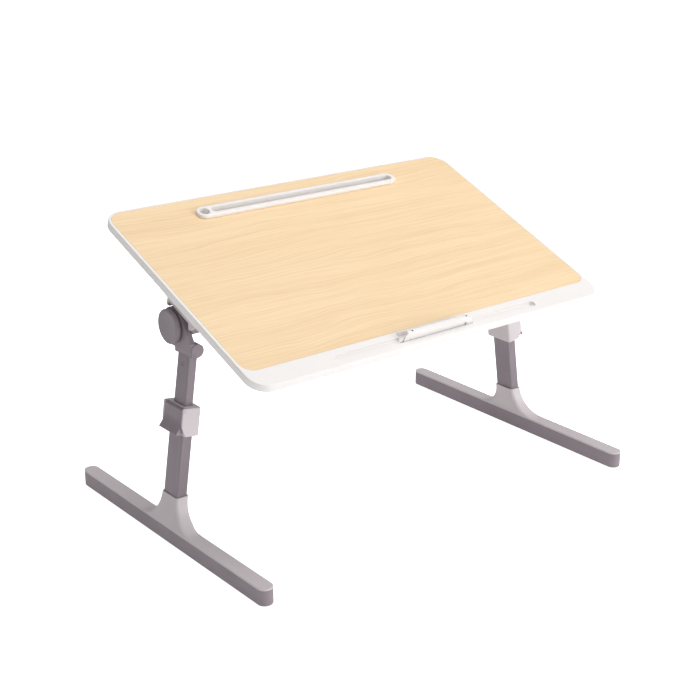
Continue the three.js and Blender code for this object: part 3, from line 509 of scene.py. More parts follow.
def end_tree(tree, shape, source):
    """Ends a tree in real geometry with its finish."""
    real = add(tree, "GeometryNodeRealizeInstances", {0: shape})
    painted = add(tree, "GeometryNodeSetMaterial",
                  {"Geometry": real.outputs[0], "Material": source.outputs["Finish"]})
    add(tree, "NodeGroupOutput", {0: painted.outputs[0]})


def grown(tree, values):
    """The shape that a tree makes from named values."""
    thing = scratch(bmesh.new())
    nodes = thing.modifiers.new("Grow", "NODES")
    nodes.node_group = tree
    for item in tree.interface.items_tree:
        if item.item_type == "SOCKET" and item.in_out == "INPUT":
            nodes[item.identifier] = values[item.name]
    mesh = plain_mesh(thing)
    shape = bmesh.new()
    shape.from_mesh(mesh)
    bpy.data.meshes.remove(mesh)
    bmesh.ops.remove_doubles(shape, verts=shape.verts, dist=0.002 * MM)
    bmesh.ops.recalc_face_normals(shape, faces=shape.faces)
    for face in shape.faces:
        face.material_index = 0
    return shape


def arithmetic(tree, operation, first, second):
    """The outcome of a sum on two values or sockets."""
    return add(tree, "ShaderNodeMath", {0: first, 1: second}, operation=operation).outputs[0]


def vector(tree, x=0.0, y=0.0, z=0.0):
    """A vector from three values or sockets."""
    return add(tree, "ShaderNodeCombineXYZ", {0: x, 1: y, 2: z}).outputs[0]


def filleted(tree, width, height, radius):
    """A rectangle curve with rounded corners."""
    square = add(tree, "GeometryNodeCurvePrimitiveQuadrilateral",
                 {"Width": width, "Height": height})
    return add(tree, "GeometryNodeFilletCurve",
               {"Curve": square.outputs[0], "Count": 7, "Radius": radius}, mode="POLY").outputs[0]


def pushed(tree, curves, low, high):
    """Flat curves, the inner ones as holes, made a closed solid between two heights."""
    sheet = add(tree, "GeometryNodeFillCurve", {"Curve": curves}, mode="NGONS").outputs[0]
    rise = vector(tree, z=arithmetic(tree, "SUBTRACT", high, low))
    wall = add(tree, "GeometryNodeExtrudeMesh",
               {"Mesh": sheet, "Offset": rise, "Offset Scale": 1.0, "Individual": False}).outputs[0]
    under = add(tree, "GeometryNodeFlipFaces", {"Mesh": sheet}).outputs[0]
    both = add(tree, "GeometryNodeJoinGeometry", {0: [wall, under]}).outputs[0]
    whole = add(tree, "GeometryNodeMergeByDistance",
                {"Geometry": both, "Distance": 1e-6}).outputs[0]
    return add(tree, "GeometryNodeTransform",
               {"Geometry": whole, "Translation": vector(tree, z=low)}).outputs[0]


# ---- Finishes ---------------------------------------------------------------------------


def new_look(name, **constants):
    """A material with constants on its shader's own sockets."""
    look = bpy.data.materials.new(name)
    look.use_nodes = True
    shader = look.node_tree.nodes["Principled BSDF"]
    for socket, value in constants.items():
        shader.inputs[socket.replace("_", " ")].default_value = value
    return look, look.node_tree, shader


def noise(tree, place, scale, detail=3.0, roughness=0.5):
    """A noise level over the object's own coordinates."""
    return add(tree, "ShaderNodeTexNoise", {"Vector": place, "Scale": scale, "Detail": detail,
                                            "Roughness": roughness}).outputs["Fac"]


def between(tree, level, low, high, start=0.0, end=1.0):
    """A level moved from one range to another."""
    return add(tree, "ShaderNodeMapRange", {"Value": level, "From Min": low, "From Max": high,
                                            "To Min": start, "To Max": end}).outputs[0]


def blend_colours(tree, share, first, second, mode="MIX"):
    """Two colours mixed by a share."""
    node = add(tree, "ShaderNodeMix", {0: share, 6: first, 7: second}, data_type="RGBA",
               blend_type=mode)
    return node.outputs[2]


def turned(tree, place, scale):
    """Object coordinates in a local frame, stretched along each of its directions."""
    position = add(tree, "ShaderNodeTexCoord").outputs["Object"]
    local = add(tree, "ShaderNodeMapping", {
        "Vector": position, "Location": place.translation, "Rotation": place.to_euler()},
        vector_type="TEXTURE").outputs[0]
    return local if scale is None else add(
        tree, "ShaderNodeMapping", {"Vector": local, "Scale": scale}).outputs[0]


def shades(tint, factor):
    """A colour made lighter or darker, with its alpha."""
    return (*(min(1.0, channel * factor) for channel in tint), 1.0)


def bumped(tree, shader, height, distance, strength=1.0):
    """Gives a shader a bump from a height."""
    bump = add(tree, "ShaderNodeBump", {"Height": height, "Distance": distance,
                                        "Strength": strength})
    tree.links.new(bump.outputs[0], shader.inputs["Normal"])


def wear_and_highlight_mask(tree):
    """How far a rounded edge is lightened, for wear and as a painted highlight, from its mark and a patchy noise.
    """
    mark = add(tree, "ShaderNodeAttribute", attribute_name="wear_and_highlight_edge").outputs["Fac"]
    patches = noise(tree, add(tree, "ShaderNodeTexCoord").outputs["Object"], 90, 4)
    return arithmetic(tree, "MULTIPLY", mark, between(tree, patches, 0.3, 0.7, 0.35, 1.0))


def moulded(name, tint, roughness, grain, depth, edge=1.25, mottle=0.05, **constants):
    """Moulded plastic: fine spark-eroded grain, handled patches, and smoother edges made paler for wear and as a
    painted highlight.
    """
    look, tree, shader = new_look(name, **constants)
    place = add(tree, "ShaderNodeTexCoord").outputs["Object"]
    cloud = noise(tree, place, 14, 5, 0.6)
    body = blend_colours(tree, between(tree, cloud, 0.3, 0.7), shades(tint, 1 - mottle),
                         shades(tint, 1 + mottle))
    specks = between(tree, noise(tree, place, grain * 0.6, 2), 0.62, 0.78)
    body = blend_colours(tree, arithmetic(tree, "MULTIPLY", specks, 0.25), body, shades(tint, 0.8))
    wear_highlight_share = wear_and_highlight_mask(tree)
    # Rounded edges are lightened by the factor edge: partly wear, partly a painted highlight.
    painted = blend_colours(tree, wear_highlight_share, body, shades(tint, edge))
    tree.links.new(painted, shader.inputs["Base Color"])
    handled = between(tree, noise(tree, place, 38, 6, 0.65), 0.35, 0.65,
                      roughness - 0.07, roughness + 0.07)
    gloss = arithmetic(tree, "SUBTRACT", handled, arithmetic(tree, "MULTIPLY", wear_highlight_share, 0.12))
    tree.links.new(gloss, shader.inputs["Roughness"])
    fine = noise(tree, place, grain, 2)
    coarse = noise(tree, place, 60, 2)
    relief = arithmetic(tree, "ADD", fine, arithmetic(tree, "MULTIPLY", coarse, 0.6))
    bumped(tree, shader, relief, depth)
    return look


def maple(name, light, dark):
    """Maple laminate: long wavy grain, fine pores and slow changes of tone."""
    look, tree, shader = new_look(name, Coat_Weight=0.08, Coat_Roughness=0.3)
    flat = turned(tree, SLAB, None)
    drift = noise(tree, turned(tree, SLAB, (3.2, 9.0, 1.0)), 1.0, 3)
    ripple = noise(tree, turned(tree, SLAB, (14.0, 60.0, 1.0)), 1.0, 2)
    sway = arithmetic(tree, "ADD", arithmetic(tree, "MULTIPLY", drift, 0.045),
                      arithmetic(tree, "MULTIPLY", ripple, 0.0035))
    bent = add(tree, "ShaderNodeVectorMath", {0: flat, 1: vector(tree, y=sway)}).outputs[0]

    def streaks(along, across, detail, low, high):
        stretched = add(tree, "ShaderNodeMapping", {"Vector": bent,
                                                    "Scale": (along, across, 1.0)}).outputs[0]
        return between(tree, noise(tree, stretched, 1.0, detail, 0.6), low, high)

    bands = streaks(1.4, 42.0, 3, 0.3, 0.7)
    lines = streaks(4.0, 420.0, 4, 0.40, 0.72)
    fibres = streaks(16.0, 1150.0, 3, 0.45, 0.75)
    pores = streaks(40.0, 2300.0, 1, 0.62, 0.78)
    depth = arithmetic(tree, "ADD", arithmetic(tree, "MULTIPLY", bands, 0.30),
                       arithmetic(tree, "MULTIPLY", lines, 0.42))
    depth = arithmetic(tree, "ADD", depth, arithmetic(tree, "MULTIPLY", fibres, 0.22))
    grained = blend_colours(tree, depth, (*light, 1.0), (*dark, 1.0))
    painted = blend_colours(tree, arithmetic(tree, "MULTIPLY", pores, 0.14), grained,
                            shades(dark, 0.72))
    tree.links.new(painted, shader.inputs["Base Color"])
    gloss = between(tree, arithmetic(tree, "ADD", lines, fibres), 0.2, 1.4, 0.46, 0.6)
    tree.links.new(gloss, shader.inputs["Roughness"])
    relief = arithmetic(tree, "ADD", lines, arithmetic(tree, "MULTIPLY", pores, 1.6))
    bumped(tree, shader, relief, -0.00004)
    return look


def brushed(name, tint, roughness, metal, place, edge=1.5):
    """Metal drawn along a local Z: fine lengthwise lines, soft bands, and edges made bright for wear and as a
    painted highlight.
    """
    look, tree, shader = new_look(name, Metallic=metal)
    lines = noise(tree, turned(tree, place, (1600.0, 1600.0, 9.0)), 1.0, 3, 0.7)
    bands = noise(tree, turned(tree, place, (220.0, 220.0, 2.5)), 1.0, 2)
    cloud = noise(tree, add(tree, "ShaderNodeTexCoord").outputs["Object"], 22, 4)
    tone = arithmetic(tree, "ADD", arithmetic(tree, "MULTIPLY", lines, 0.5),
                      arithmetic(tree, "MULTIPLY", arithmetic(tree, "ADD", bands, cloud), 0.25))
    body = blend_colours(tree, between(tree, tone, 0.3, 0.7), shades(tint, 0.88),
                         shades(tint, 1.12))
    wear_highlight_share = wear_and_highlight_mask(tree)
    # Rounded edges are lightened by the factor edge: partly wear, partly a painted highlight.
    tree.links.new(blend_colours(tree, wear_highlight_share, body, shades(tint, edge)),
                   shader.inputs["Base Color"])
    gloss = between(tree, tone, 0.3, 0.7, roughness - 0.06, roughness + 0.08)
    tree.links.new(gloss, shader.inputs["Roughness"])
    bumped(tree, shader, lines, 0.00002)
    return look


def fibreboard(name, tint):
    """Raw fibreboard: short felted fibres, light and dark."""
    look, tree, shader = new_look(name)
    place = add(tree, "ShaderNodeTexCoord").outputs["Object"]
    felt = noise(tree, place, 700, 5, 0.7)
    body = blend_colours(tree, between(tree, felt, 0.35, 0.65), shades(tint, 0.8),
                         shades(tint, 1.15))
    tree.links.new(body, shader.inputs["Base Color"])
    tree.links.new(between(tree, felt, 0.3, 0.7, 0.8, 0.95), shader.inputs["Roughness"])
    bumped(tree, shader, felt, 0.0002)
    return look


# In each finish, edge is how much lighter the rounded edges are: partly wear, partly a painted highlight.
LOOKS = {
    "white": lambda tints: moulded("satin_white_plastic", tints.white, 0.40, 1500, 0.00003,
                                   edge=1.08, mottle=0.015),
    "wood": lambda tints: maple("light_maple", tints.wood, tints.wood_dark),
    "board": lambda tints: fibreboard("raw_fibreboard", tints.board),
    "greige": lambda tints: moulded("greige_plastic", tints.greige, 0.45, 1300, 0.00004,
                                    edge=1.18, mottle=0.03),
    "taupe": lambda tints: moulded("taupe_plastic", tints.taupe, 0.46, 1300, 0.00005,
                                   edge=1.35, mottle=0.05),
    "tube": lambda tints: brushed("anodised_tube", tints.tube, 0.34, 0.55, LEG, edge=1.7),
    "steel": lambda tints: brushed("zinc_steel", tints.steel, 0.30, 1.0, LEG, edge=1.2),
    "rubber": lambda tints: moulded("dark_rubber", tints.rubber, 0.85, 900, 0.00008,
                                    edge=1.4, mottle=0.12),
    "nylon": lambda tints: moulded("black_nylon", tints.nylon, 0.55, 1200, 0.00004,
                                   edge=1.3, mottle=0.08),
}


def finish(slot):
    """The finish of a material slot, made when it is first asked for."""
    known = bpy.data.materials.get("finish_" + slot)
    if known is None:
        known = LOOKS[slot](bpy.context.scene.tray_colours)
        known.name = "finish_" + slot
    return known

# ---- Tabletop ---------------------------------------------------------------------------


def wood_outline(sizes, grow=0.0):
    """The wood's outline: wide corners in front, the frame's own less the rim behind."""
    low, high = span("wood_panel", SLAB)
    front, back = sizes.wood_front + grow, sizes.wood_back + grow
    return rounded([(low.x - grow, low.y - grow, front), (high.x + grow, low.y - grow, front),
                    (high.x + grow, high.y + grow, back), (low.x - grow, high.y + grow, back)], 0)


def cover_outline(sizes, inset=0.0):
    """The bottom cover's outline."""
    low, high = span("bottom_cover", SLAB)
    rim = low.x - span("tabletop_frame", SLAB)[0].x
    return rounded_box(low.x + inset, high.x - inset, low.y + inset, high.y - inset,
                       max(sizes.corner - rim - inset, MM))


def holder_outline(sizes, grow):
    """The outline of the tablet slot's trough."""
    low, high = span("slot_holder", SLAB)
    edge = sizes.brim - grow
    return stadium(low.x + edge, high.x - edge, low.y + edge, high.y - edge)


def groove_tool(sizes, front):
    """The pen groove, with a round bottom."""
    half = sizes.groove_length / 2
    floor = sizes.groove_depth
    bend = floor * 0.75
    profile = [(inset, height) for inset, height in edge_profile(-floor, PASS, bend, 0)]
    return pillow(lambda inset: stadium(-half + inset, half - inset, front + inset,
                                        front + sizes.groove_width - inset), profile)


def stop_pocket(sizes):
    """The pocket that the book stop folds into."""
    low, high = span("book_stop", SLAB)
    front = local_joint("book_stop_fold", SLAB).y - sizes.groove_front
    back = span("wood_panel", SLAB)[0].y - sizes.pocket_rim
    spare = sizes.pocket_spare
    return prism(rounded_box(low.x - spare, high.x + spare, front, back, 0.8 * MM),
                 -sizes.pocket_depth, PASS)


def top_frame(sizes):
    """The white frame: rounded edges, the wood's recess, the pen groove and the pocket."""
    low, high = span("tabletop_frame", SLAB)
    wood_low = span("wood_panel", SLAB)[0].z - FIT
    cover_top = span("bottom_cover", SLAB)[1].z
    front = local_joint("book_stop_fold", SLAB).y - sizes.groove_front

    def outline(inset):
        return rounded_box(low.x + inset, high.x - inset, low.y + inset, high.y - inset,
                           sizes.corner - inset)

    body = pillow(outline, edge_profile(low.z, high.z, sizes.lower_edge, sizes.upper_edge))
    return cut(body, prism(wood_outline(sizes, FIT), wood_low, PASS),
               prism(wood_outline(sizes, -sizes.ledge), low.z - PASS, PASS),
               prism(cover_outline(sizes, -FIT), low.z - PASS, cover_top + FIT),
               groove_tool(sizes, front), stop_pocket(sizes))


def wood_panel(sizes, slot_sizes):
    """The wood, with the hole that the tablet slot goes through."""
    low, high = span("wood_panel", SLAB)
    return cut(prism(wood_outline(sizes), low.z, high.z),
               prism(holder_outline(slot_sizes, FIT), low.z - PASS, high.z + PASS))


def bottom_cover(sizes):
    """The plate under the top, with a fine pressed line round it."""
    low, high = span("bottom_cover", SLAB)
    line, deep = 1.2 * MM, 0.5 * MM
    ring = cut(prism(cover_outline(sizes, sizes.cover_line), low.z - PASS, low.z + deep),
               prism(cover_outline(sizes, sizes.cover_line + line), low.z - 2 * PASS, low.z + PASS))
    return cut(prism(cover_outline(sizes), low.z, high.z), ring)


def slot_holder(sizes):
    """The raised tablet slot with its round recess."""
    low, high = span("slot_holder", SLAB)
    middle, end = (low.y + high.y) / 2, (high.y - low.y) / 2

    def outline(inset):
        return stadium(low.x + inset, high.x - inset, low.y + inset, high.y - inset)

    brim = pillow(outline, edge_profile(FIT, high.z, 0, sizes.brim_edge))
    trough = prism(holder_outline(sizes, 0), low.z, 0.8 * MM)
    recess_x = low.x + end
    start = recess_x + sizes.recess + sizes.slot_gap
    half = sizes.slot_width / 2
    slot = prism(stadium(start, high.x - end + half, middle - half, middle + half),
                 -sizes.slot_floor, high.z + PASS)
    recess = rod(sizes.recess, -sizes.recess_floor, high.z + PASS, "Z", recess_x, middle)
    return cut(joined(brim, trough), slot, recess)


def book_stop(sizes):
    """The stop: two legs, a bar with a lip, chamfered upper corners and two barrels."""
    low, high = span("book_stop", SLAB)
    hinge = local_joint("book_stop_fold", SLAB)
    middle, half = (low.x + high.x) / 2, (high.x - low.x) / 2
    top, inner = high.z - hinge.z, half - sizes.stop_foot
    window, cut_corner = sizes.stop_window, sizes.stop_chamfer
    corner = 1.2 * MM
    face = rounded([(-half, 0, 0), (-inner, 0, 0), (-inner, window), (inner, window),
                    (inner, 0, 0), (half, 0, 0), (half, top - 1.6 * cut_corner),
                    (half - cut_corner, top), (-half + cut_corner, top),
                    (-half, top - 1.6 * cut_corner)], corner)
    thick = sizes.stop_thick / 2
    reach, lip_half = thick + sizes.stop_lip, half - cut_corner
    lip = block(-lip_half, lip_half, 0, reach, top - 2 * MM, top)
    barrels = [rod(sizes.stop_barrel, low, high, "X", steps=32)
               for low, high in ((-half, -inner), (inner, half))]
    bore = rod(sizes.stop_pin + FIT, -half - PASS, half + PASS, "X", steps=24)
    shape = cut(joined(prism(face, -thick, thick, "Y"), lip, *barrels), bore)
    shape.transform(Matrix.Translation((middle, hinge.y, hinge.z)))
    return shape


class MESH_OT_tray_tabletop(bpy.types.Operator):
    """Make the white frame, the wood and the bottom cover"""

    bl_idname = "mesh.tray_tabletop"
    bl_label = "Tabletop"
    bl_options = {"UNDO"}

    def execute(self, context):
        sizes = context.scene.tray_top
        made = (
            ("top_frame", top_frame(sizes), "white", "tabletop_frame", 0.45),
            ("wood_top", wood_panel(sizes, context.scene.tray_slot), "wood", "wood_panel", 0.25),
            ("under_cover", bottom_cover(sizes), "white", "bottom_cover", 0.3),
        )
        for name, shape, slot, node, rounding in made:
            shape.transform(SLAB)
            settle(name, shape, slot, "tabletop", [node], rounding)
        return {"FINISHED"}


class MESH_OT_tray_slot(bpy.types.Operator):
    """Make the raised tablet slot"""

    bl_idname = "mesh.tray_slot"
    bl_label = "Tablet slot"
    bl_options = {"UNDO"}

    def execute(self, context):
        shape = slot_holder(context.scene.tray_slot)
        shape.transform(SLAB)
        settle("tablet_slot", shape, "white", "tabletop", ["slot_holder"], 0.6)
        return {"FINISHED"}


class MESH_OT_tray_stop(bpy.types.Operator):
    """Make the book stop, its hinge pin and its two rubber bumpers"""

    bl_idname = "mesh.tray_stop"
    bl_label = "Book stop"
    bl_options = {"UNDO"}

    def execute(self, context):
        sizes = context.scene.tray_slot
        shape = book_stop(sizes)
        shape.transform(SLAB)
        settle("page_stop", shape, "white", "book_stop", ["book_stop"], 0.35)
        hinge = local_joint("book_stop_fold", SLAB)
        low, high = span("stop_pin", SLAB)
        pin = rod(sizes.stop_pin, low.x, high.x, "X", hinge.y, hinge.z, 24)
        pin.transform(SLAB)
        settle("page_stop_pin", pin, "steel", "tabletop", ["stop_pin"], 0.2)
        for side in ("left", "right"):
            low, high = span(f"stop_bumper_{side}", SLAB)
            dot = spun([(sizes.bumper, low.z), (sizes.bumper, low.z + 0.25 * MM),
                        (sizes.bumper * 0.6, high.z)], "Z", (low.x + high.x) / 2,
                       (low.y + high.y) / 2, 32)
            dot.transform(SLAB)
            settle(f"{side}_bumper_dot", dot, "rubber", "book_stop", [f"stop_bumper_{side}"])
        return {"FINISHED"}


# ---- Hinges -----------------------------------------------------------------------------


def head_space(sizes, out):
    """The round space under the plate that the arm's head turns in."""
    return rod(sizes.head + MM, out - PASS, out + sizes.head_thick + 0.2 * MM, "X", steps=96)


def hinge_bracket(sizes):
    """The bracket under the top: a plate and a side wall over the arm's head."""
    low, high = span("hinge_bracket_left", HINGE)
    housing_low, housing_high = span("hinge_housing_left", HINGE)
    front, back = housing_low.y - RUN, housing_high.y + RUN
    cheek, plate_low = sizes.cheek, high.z - sizes.plate
    plate_corner, soft = 4 * MM, 1.5 * MM
    plate = prism(rounded_box(low.x, high.x, low.y, high.y, plate_corner), plate_low, high.z)
    arch = sizes.head + MM
    cheek_low, lug_low, back_low = arch - 7 * MM, arch - 8.5 * MM, arch - 6.5 * MM
    ledge = arch + 3.5 * MM
    side = rounded([
        (low.y + 2 * MM, high.z, 0), (front - cheek, cheek_low, soft), (front, lug_low, soft),
        (front + 3 * MM, arch, soft), (back, arch, 0), (back, back_low, 0),
        (back + cheek, back_low, soft), (back + cheek, ledge, soft),
        (high.y - 4 * MM, ledge, soft), (high.y - MM, high.z, 0)], 0)
    wall = prism(side, low.x, low.x + sizes.wall, "X")
    tools = [head_space(sizes, low.x)]
    for x, y in screw_places():
        tools.append(rod(sizes.screw_shank + FIT, plate_low - PASS, high.z + PASS, "Z", x, y, 32))
    return cut(joined(plate, wall), *tools)


def hinge_cheek(sizes, at_front):
    """One of the two cheeks under the plate that hold the ends of the fold pin."""
    low, high = span("hinge_bracket_left", HINGE)
    pin = local_joint("fold_left", HINGE)
    housing_low, housing_high = span("hinge_housing_left", HINGE)
    start = housing_low.y - RUN - sizes.cheek if at_front else housing_high.y + RUN
    out, top = low.x + sizes.wall, high.z - sizes.plate
    outline = [(out, top), (out, pin.z - sizes.cheek_round),
               *arc(pin.x, pin.z, sizes.cheek_round, -math.pi / 2, 0, 14),
               (pin.x + sizes.cheek_round, top)]
    return cut(prism(outline, start, start + sizes.cheek, "Y"), head_space(sizes, low.x),
               rod(sizes.fold_pin + FIT, start - PASS, start + sizes.cheek + PASS, "Y",
                   pin.x, pin.z))


def screw_places():
    """Where the bracket's screws stand, in the hinge's frame."""
    places = []
    for index in range(1, 5):
        low, high = span(f"bracket_screw_left_{index}", HINGE)
        places.append(((low.x + high.x) / 2, (low.y + high.y) / 2))
    return places


def hinge_housing(sizes):
    """The housing: it swings on the fold pin and holds the tilt axle."""
    low, high = span("hinge_housing_left", HINGE)
    pin = local_joint("fold_left", HINGE)
    bearing, barrel = sizes.bearing, sizes.barrel
    front, back = low.y, high.y
    soft, beside_barrel, shelf = 3 * MM, 0.5 * MM, sizes.head - 5 * MM
    front_low, side_low, bottom, back_low = 7 * MM, -5 * MM, -10 * MM, pin.z - 8 * MM
    side = rounded([(front, pin.z, 0), (front, front_low, soft), (-bearing, side_low, soft),
                    (0, bottom, soft), (bearing, 0, 0), (back, back_low, soft),
                    (back, pin.z, 0)], 0)
    body = cut(prism(side, low.x, high.x, "X"),
               block(low.x - PASS, pin.x - barrel - beside_barrel, front - PASS, back + PASS,
                     shelf, pin.z + PASS),
               block(pin.x, high.x + PASS, front - PASS, back + PASS, pin.z, high.z + PASS))
    whole = joined(body, rod(bearing, low.x, high.x, "X", steps=96),
                   rod(barrel, front, back, "Y", pin.x, pin.z))
    return cut(whole, rod(sizes.fold_pin + FIT, front - PASS, back + PASS, "Y", pin.x, pin.z),
               rod(sizes.axle + FIT, low.x - PASS, high.x + PASS, "X"),
               rod(sizes.gear + RUN, low.x - PASS, low.x + GEAR_SINK, "X"))


def fold_pin(sizes):
    """The fold pin with its flat head, along the top's depth."""
    low, high = span("fold_pin_left", HINGE)
    pin = local_joint("fold_left", HINGE)
    head, radius = sizes.fold_pin + 1.8 * MM, sizes.fold_pin
    head_end, head_bevel, tip_bevel = low.y + 1.6 * MM, 0.5 * MM, 0.6 * MM
    return spun([(head - head_bevel, low.y), (head, low.y + head_bevel), (head, head_end),
                 (radius, head_end), (radius, high.y - tip_bevel),
                 (radius - tip_bevel, high.y)], "Y", pin.x, pin.z, 48)


def tilt_axle(sizes):
    """The tilt axle with its six-sided head inside the housing's inner face."""
    low, high = span("tilt_axle_left", HINGE)
    half = (high.z - low.z) / 2
    thick, dish = 2.4 * MM, 0.8 * MM
    head = prism(circle(half, steps=6), high.x - thick, high.x, "X")
    dished = rod(half * 0.5, high.x - dish, high.x + PASS, "X", steps=48)
    return cut(joined(rod(sizes.axle, low.x, high.x - 0.5 * MM, "X"), head), dished)


def screw_tree():
    """Screws on a grid of points: a domed head with a cross in it, and a shank."""
    tree, source = new_tree("Bracket screws", (
        "Head radius", "Head height", "Shank radius", "Shank length", "Across", "Along", "Cross"))
    value = source.outputs
    head = add(tree, "GeometryNodeMeshCone", {
        "Vertices": 32, "Radius Bottom": arithmetic(tree, "MULTIPLY", value["Head radius"], 0.66),
        "Radius Top": value["Head radius"], "Depth": value["Head height"]}).outputs[0]
    width = arithmetic(tree, "MULTIPLY", value["Cross"], 0.3)
    sunk = arithmetic(tree, "MULTIPLY", value["Head height"], 1.2)
    arms = []
    for size in ((value["Cross"], width), (width, value["Cross"])):
        arms.append(add(tree, "GeometryNodeMeshCube",
                        {"Size": vector(tree, *size, sunk)}).outputs[0])
    slots = add(tree, "GeometryNodeMeshBoolean", {"Mesh 2": arms}, operation="UNION",
                solver="EXACT").outputs[0]
    carved = add(tree, "GeometryNodeMeshBoolean", {"Mesh 1": head, "Mesh 2": slots},
                 operation="DIFFERENCE", solver="EXACT").outputs[0]
    shank = add(tree, "GeometryNodeMeshCylinder", {
        "Vertices": 24, "Radius": value["Shank radius"], "Depth": value["Shank length"]}).outputs[0]
    lift = arithmetic(tree, "ADD", arithmetic(tree, "MULTIPLY", value["Shank length"], 0.5),
                      arithmetic(tree, "MULTIPLY", value["Head height"], 0.7))
    raised = add(tree, "GeometryNodeTransform", {"Geometry": shank,
                                                 "Translation": vector(tree, z=lift)}).outputs[0]
    screw = add(tree, "GeometryNodeMeshBoolean", {"Mesh 2": [carved, raised]}, operation="UNION",
                solver="EXACT").outputs[0]
    grid = add(tree, "GeometryNodeMeshGrid", {"Size X": value["Across"], "Size Y": value["Along"],
                                              "Vertices X": 2, "Vertices Y": 2}).outputs[0]
    placed = add(tree, "GeometryNodeInstanceOnPoints",
                 {"Points": grid, "Instance": screw}).outputs[0]
    end_tree(tree, placed, source)
    return tree


def bracket_screws(sizes):
    """The four screws that hold a bracket to the top."""
    low, high = span("bracket_screw_left_1", HINGE)
    places = screw_places()
    xs, ys = [x for x, y in places], [y for x, y in places]
    head = 1.9 * MM
    shape = grown(screw_tree(), {
        "Head radius": sizes.screw_head, "Head height": head, "Shank radius": sizes.screw_shank,
        "Shank length": high.z - low.z - 1.2 * head, "Across": max(xs) - min(xs),
        "Along": max(ys) - min(ys), "Cross": sizes.screw_head * 1.05, "Finish": finish("steel")})
    shape.transform(Matrix.Translation(((max(xs) + min(xs)) / 2, (max(ys) + min(ys)) / 2,
                                        low.z + head / 2)))
    return shape


class MESH_OT_tray_hinges(bpy.types.Operator):
    """Make the brackets, housings, fold pins and tilt axles"""

    bl_idname = "mesh.tray_hinges"
    bl_label = "Hinges"
    bl_options = {"UNDO"}

    def execute(self, context):
        sizes = context.scene.tray_hinge
        pair("hinge_shell", hinge_bracket(sizes), HINGE, "greige", "tabletop",
             ["hinge_bracket_{side}"], 0.7)
        for where in ("front", "back"):
            pair(f"{where}_hinge_cheek", hinge_cheek(sizes, where == "front"), HINGE, "taupe",
                 "tabletop", ["hinge_bracket_{side}"], 0.7)
        pair("hinge_block", hinge_housing(sizes), HINGE, "taupe", "hinge_{side}",
             ["hinge_housing_{side}"], 0.9)
        pair("hinge_pin", fold_pin(sizes), HINGE, "steel", "tabletop", ["fold_pin_{side}"])
        pair("axle_bolt", tilt_axle(sizes), HINGE, "steel", "hinge_{side}",
             ["tilt_axle_{side}"], 0.35)
        return {"FINISHED"}


class MESH_OT_tray_screws(bpy.types.Operator):
    """Make the screws that hold the brackets to the top"""

    bl_idname = "mesh.tray_screws"
    bl_label = "Bracket screws"
    bl_options = {"UNDO"}

    def execute(self, context):
        nodes = [f"bracket_screw_{{side}}_{index}" for index in range(1, 5)]
        pair("bracket_screws", bracket_screws(context.scene.tray_hinge), HINGE, "steel",
             "tabletop", nodes, 0.15)
        return {"FINISHED"}


# ---- Arms and disc buttons ----------------------------------------------------------------


def tilt_arm(sizes, leg):
    """The arm: a round head behind the disc, a neck and a rounded foot on the tube."""
    low = span("tilt_arm_left", ARM)[0]
    tube_low, tube_high = span("inner_tube_left", LEG)
    out = span("hinge_bracket_left", HINGE)[0].x
    head_in = out + sizes.head_thick
    foot_top, foot_low = -16.5 * MM, ARM.inverted() @ LEG @ Vector((0, 0, tube_high.z))
    base = foot_low.z + FIT
    slope = (ARM.inverted() @ LEG).to_3x3() @ Vector((1, 0, 0))
    fall = slope.z / slope.x

    def under(x):
        return base + (x - foot_low.x) * fall

    back, front = low.y + 40.8 * MM, low.y + 0.8 * MM
    round_x, radius = -3 * MM, sizes.arm_round
    tube_out = foot_low.x + tube_low.x
    inner_face = head_in - 0.1 * MM
    soft, throat = 3 * MM, 6 * MM
    neck_low, skirt, skirt_tip, foot_side = (base + rise * MM for rise in (8, 14, 4, 20))
    neck = rounded([(front, neck_low, 0), (8 * MM, neck_low, soft),
                    (14.7 * MM, -17.15 * MM, soft), (0, 0, 0), (-19.6 * MM, 13.5 * MM, 0),
                    (front + 9 * MM, -2 * MM, throat), (front, foot_top, soft)], 0)
    foot = rounded([(out, skirt, soft), (tube_out, skirt_tip, soft),
                    (tube_out, under(tube_out), 0), (round_x, under(round_x), 0),
                    (round_x, foot_top, 0), (inner_face, foot_top, 0),
                    (inner_face, foot_side, 0), (out, foot_side, 0)], 0)
    shell = joined(rod(sizes.head, out, head_in, "X", steps=96), prism(neck, out, head_in, "X"),
                   prism(foot, front, back, "Y"),
                   rod(radius, low.y, back, "Y", round_x, base + radius + FIT))
    plug_long, plug_up, stem_end = 24 * MM, 6 * MM, head_in - 2.2 * MM
    plug = prism(rounded_box(tube_low.x + leg.wall + FIT, tube_high.x - leg.wall - FIT,
                             tube_low.y + leg.wall + FIT, tube_high.y - leg.wall - FIT, MM, 4),
                 tube_high.z - plug_long, tube_high.z + plug_up)
    plug.transform(ARM.inverted() @ LEG)
    rivet = rod(leg.rivet + FIT, -THROUGH, THROUGH, "X", 0, rivet_height())
    rivet.transform(ARM.inverted() @ LEG)
    return cut(joined(shell, plug), rivet,
               rod(sizes.stem + RUN, out - PASS, stem_end, "X"),
               rod(sizes.axle + FIT, out - PASS, head_in + PASS, "X"),
               rod(sizes.gear + FIT, head_in - GEAR_SINK, head_in + PASS, "X"))


def rivet_height():
    """Where the rivet goes through the sliding tube, along the leg."""
    low, high = span("tube_rivet_left", LEG)
    return (low.z + high.z) / 2


